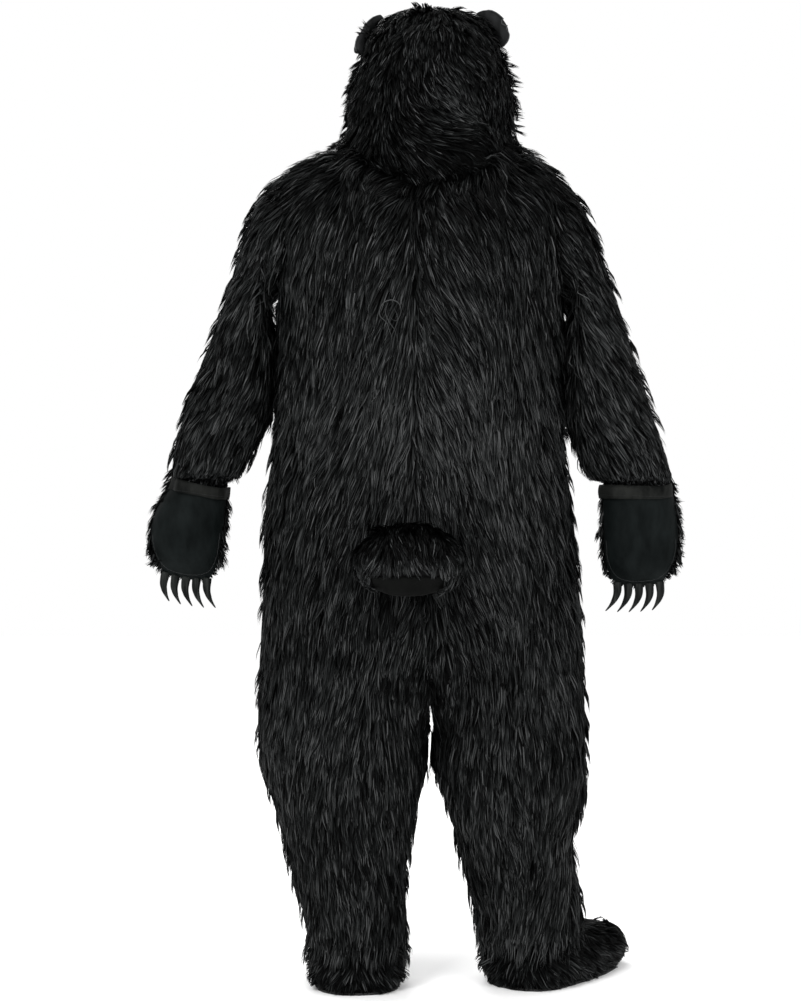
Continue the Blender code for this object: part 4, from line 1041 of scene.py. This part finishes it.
# Each edge's fringe: its node, how far it stands out, its locks, how far back it is, the ways the fur
# points at its start and end, and its places. Ways and places are across and up.
EDGES = {
    "crown_tuft": ("hood_left", 0.021, 40, 0.012, (0.2, 1.0), (-0.3, 1.0), [
        (0.010, 0.345), (-0.004, 0.345)]),
    "ear_root_tuft": ("hood_right", 0.024, 46, 0.010, (0.5, 1.0), (-0.4, 1.0), [
        (-0.084, 0.332), (-0.106, 0.330)]),
    "left_ear_tuft": ("hood_left", 0.015, 26, 0.012, (1.0, 0.1), (0.5, 1.0), [
        (0.108, 0.305), (0.100, 0.325)]),
    "hood_left_edge": ("hood_left", 0.020, 220, 0.0, (0.8, -0.7), (1.0, -0.6), [
        (0.116, 0.262), (0.125, 0.223), (0.131, 0.185), (0.134, 0.140)]),
    "hood_right_edge": ("hood_right", 0.034, 260, 0.0, (-1.0, -0.2), (-1.0, -0.3), [
        (-0.148, 0.270), (-0.154, 0.240), (-0.162, 0.204), (-0.168, 0.135)]),
    "neck_right_edge": ("back_right", 0.020, 90, 0.0, (-1.0, -0.3), (-1.0, -0.3), [
        (-0.160, 0.128), (-0.180, 0.104), (-0.205, 0.093)]),
    "neck_left_edge": ("back_left", 0.016, 90, 0.0, (1.0, -0.4), (1.0, -0.5), [
        (0.128, 0.132), (0.148, 0.112), (0.168, 0.099)]),
    "mitt_left_outer": ("mitt_left_back", 0.021, 340, -0.010, (0.8, -0.7), (1.0, -0.45), [
        (0.472, -0.505), (0.484, -0.556), (0.500, -0.613), (0.505, -0.661), (0.492, -0.694)]),
    "mitt_left_inner": ("mitt_left_back", 0.016, 130, -0.010, (-0.6, -1.0), (-0.7, -1.0), [
        (0.367, -0.566), (0.371, -0.623), (0.380, -0.684)]),
    "mitt_right_outer": ("mitt_right_back", 0.016, 260, -0.010, (-0.7, -0.8), (-1.0, -0.5), [
        (-0.480, -0.530), (-0.487, -0.585), (-0.491, -0.651), (-0.480, -0.704)]),
    "sleeve_left_end": ("sleeve_left", 0.022, 90, 0.0, (-0.3, -1.0), (-0.8, -1.0), [
        (0.372, -0.520), (0.352, -0.512), (0.336, -0.485)]),
    "foot_left_edge": ("foot_left_upper", 0.018, 120, 0.0, (1.0, -0.6), (1.0, -0.5), [
        (0.201, -1.420), (0.199, -1.457), (0.190, -1.478)]),
    "foot_right_edge": ("foot_right_upper", 0.018, 120, -0.140, (-1.0, -0.3), (-1.0, -0.8), [
        (-0.374, -1.404), (-0.382, -1.420), (-0.380, -1.440)]),
}


def fringe(name, places, ways, length, count):
    """Tufts of locks that stand out along an edge, from its places and the way the fur points at each."""
    stops = np.linspace(0.0, 1.0, len(places))
    groups = max(2, count // TUFT["locks"])

    def between(rows, share):
        return np.stack([np.interp(share, stops, column) for column in np.array(rows, float).T], axis=1)

    centres = (np.arange(groups) + RANDOM.random(groups)) / groups
    headings = unit(between(ways, centres) + RANDOM.normal(size=(groups, 3)) * HEADING_SPREAD)
    reaches = length * RANDOM.uniform(*REACH_SPREAD, groups)[:, None]
    group = RANDOM.integers(0, groups, count)
    share = np.clip(centres[group] + RANDOM.normal(size=count) * ALONG_SPREAD / groups, 0.0, 1.0)
    roots = between(places, share) + RANDOM.normal(size=(count, 3)) * ROOT_SPREAD
    roots -= headings[group] * TUFT["sunk"]
    ends = (between(places, centres) + headings * reaches)[group]
    ends = ends + RANDOM.normal(size=(count, 3)) * TIP_SPREAD
    ends[:, 1] = TUFT["level"] * ends[:, 1] + (1.0 - TUFT["level"]) * roots[:, 1]
    flat = unit(np.cross(ends - roots, BACKWARDS))
    rows = []
    for station, taper in zip(STATIONS, TAPER + (0.0,)):
        place = roots + (ends - roots) * station - UP * TUFT["sag"] * length * station ** 2
        rows += [place - flat * TUFT["half"] * taper, place + flat * TUFT["half"] * taper]
    light = TUFT["light"] + RANDOM.normal(size=(count, 1)) * TUFT["light_spread"]
    shades = np.clip(light + np.zeros((1, BLADE_CORNERS)), 0.0, 1.0)
    return piece(name, blades(name, np.stack(rows[:-1], axis=1), shades), FUR_LOOK)


for name, (node, length, count, depth, first, last, places) in EDGES.items():
    turns = np.linspace(0.0, 1.0, len(places))[:, None]
    ways = np.insert(np.array(first) * (1.0 - turns) + np.array(last) * turns, 1, 0.0, axis=1)
    fringe(name, np.insert(places, 1, depth, axis=1), ways, length, count).parent = dressed[node]


# A facing inside the neck's seam

# The facing's size, and how far it is open in front each way, then the line that it follows
FACING = dict(width=0.024, thick=0.0006, steps=72, open=0.5)
NECK = dict(mid=-0.014, half=0.145, back=0.123, front=0.118, side=0.103, back_drop=0.073, front_drop=0.103)


def neck_line():
    """The facing's middle line from one side of the front round to the other, and the ways outwards."""
    turns = np.linspace(0.0, 2.0 * math.pi, FACING["steps"], endpoint=False)
    behind = np.cos(turns) > 0
    depth = np.where(behind, NECK["back"], NECK["front"])
    drop = np.where(behind, NECK["back_drop"], NECK["front_drop"])
    places = np.stack([
        NECK["mid"] + NECK["half"] * np.sin(turns),
        depth * np.cos(turns),
        NECK["side"] - drop * np.cos(turns) ** 2,
    ], axis=1)
    outwards = unit(np.stack([np.sin(turns), np.cos(turns), np.zeros(len(turns))], axis=1))
    closed = np.abs(turns - math.pi) > FACING["open"]
    order = np.argsort(np.where(turns > math.pi, turns - 2.0 * math.pi, turns)[closed])
    return places[closed][order], outwards[closed][order]


def facing(name, places, outwards):
    """A thin closed ribbon of cloth behind a seam, from its middle line and the ways outwards."""
    up = UP * FACING["width"] / 2.0
    inwards = -outwards * FACING["thick"]
    rows = [places - up, places + up, places + up + inwards, places - up + inwards]
    corners = np.stack(rows, axis=1).reshape(-1, 3)
    count = len(places)
    faces = [(3, 2, 1, 0), tuple(range(count * 4 - 4, count * 4))]
    for order in range(count - 1):
        for k in range(4):
            n = (k + 1) % 4
            faces.append((order * 4 + k, order * 4 + 4 + k, order * 4 + 4 + n, order * 4 + n))
    return piece(name, closed_mesh(name, corners, faces), BACKING_LOOK)


facing_places, facing_outwards = neck_line()
neck_facing = facing("neck_facing", facing_places, facing_outwards)


# Studio

FLOOR_SIZE = 14.0
LAMP_AIM = Vector((0.0, 0.0, -0.4))
LAMPS = [
    dict(name="key", at=(1.8, 3.2, 1.6), power=120.0, size=1.2),
    dict(name="fill", at=(-2.2, 2.8, 0.6), power=50.0, size=1.6),
    dict(name="top", at=(0.0, 0.4, 2.6), power=60.0, size=1.4),
    dict(name="front", at=(0.4, -3.0, 1.2), power=60.0, size=1.6),
]
CAMERA = dict(lens=79.66, sensor=36.0, at=(0.037, 4.2, -0.42), turned=(88.0, 0.0, 180.0))


def studio():
    """A pale floor, soft lights and the camera behind the wearer."""
    bpy.ops.mesh.primitive_plane_add(size=FLOOR_SIZE, location=(0.0, 0.0, FLOOR))
    floor = bpy.context.object
    floor.name = "studio_floor"
    look = bpy.data.materials.new("pale_floor")
    look.use_nodes = True
    set_inputs(look.node_tree.nodes["Principled BSDF"], Base_Color=(0.98, 0.98, 0.98, 1.0), Roughness=0.9)
    floor.data.materials.append(look)
    world = bpy.data.worlds.new("studio")
    world.use_nodes = True
    set_inputs(world.node_tree.nodes["Background"], Color=(1.0, 1.0, 1.0, 1.0), Strength=1.0)
    bpy.context.scene.world = world
    bpy.context.scene.view_settings.view_transform = "Standard"
    for lamp in LAMPS:
        light = bpy.data.lights.new(lamp["name"], "AREA")
        light.energy = lamp["power"]
        light.size = lamp["size"]
        holder = bpy.data.objects.new(lamp["name"], light)
        holder.location = lamp["at"]
        holder.rotation_euler = (LAMP_AIM - holder.location).to_track_quat("-Z", "Y").to_euler()
        bpy.context.scene.collection.objects.link(holder)
    camera = bpy.data.cameras.new("camera")
    camera.lens = CAMERA["lens"]
    camera.sensor_width = CAMERA["sensor"]
    holder = bpy.data.objects.new("camera", camera)
    holder.location = CAMERA["at"]
    holder.rotation_euler = [math.radians(angle) for angle in CAMERA["turned"]]
    bpy.context.scene.collection.objects.link(holder)
    bpy.context.scene.camera = holder


studio()
bpy.context.view_layer.update()
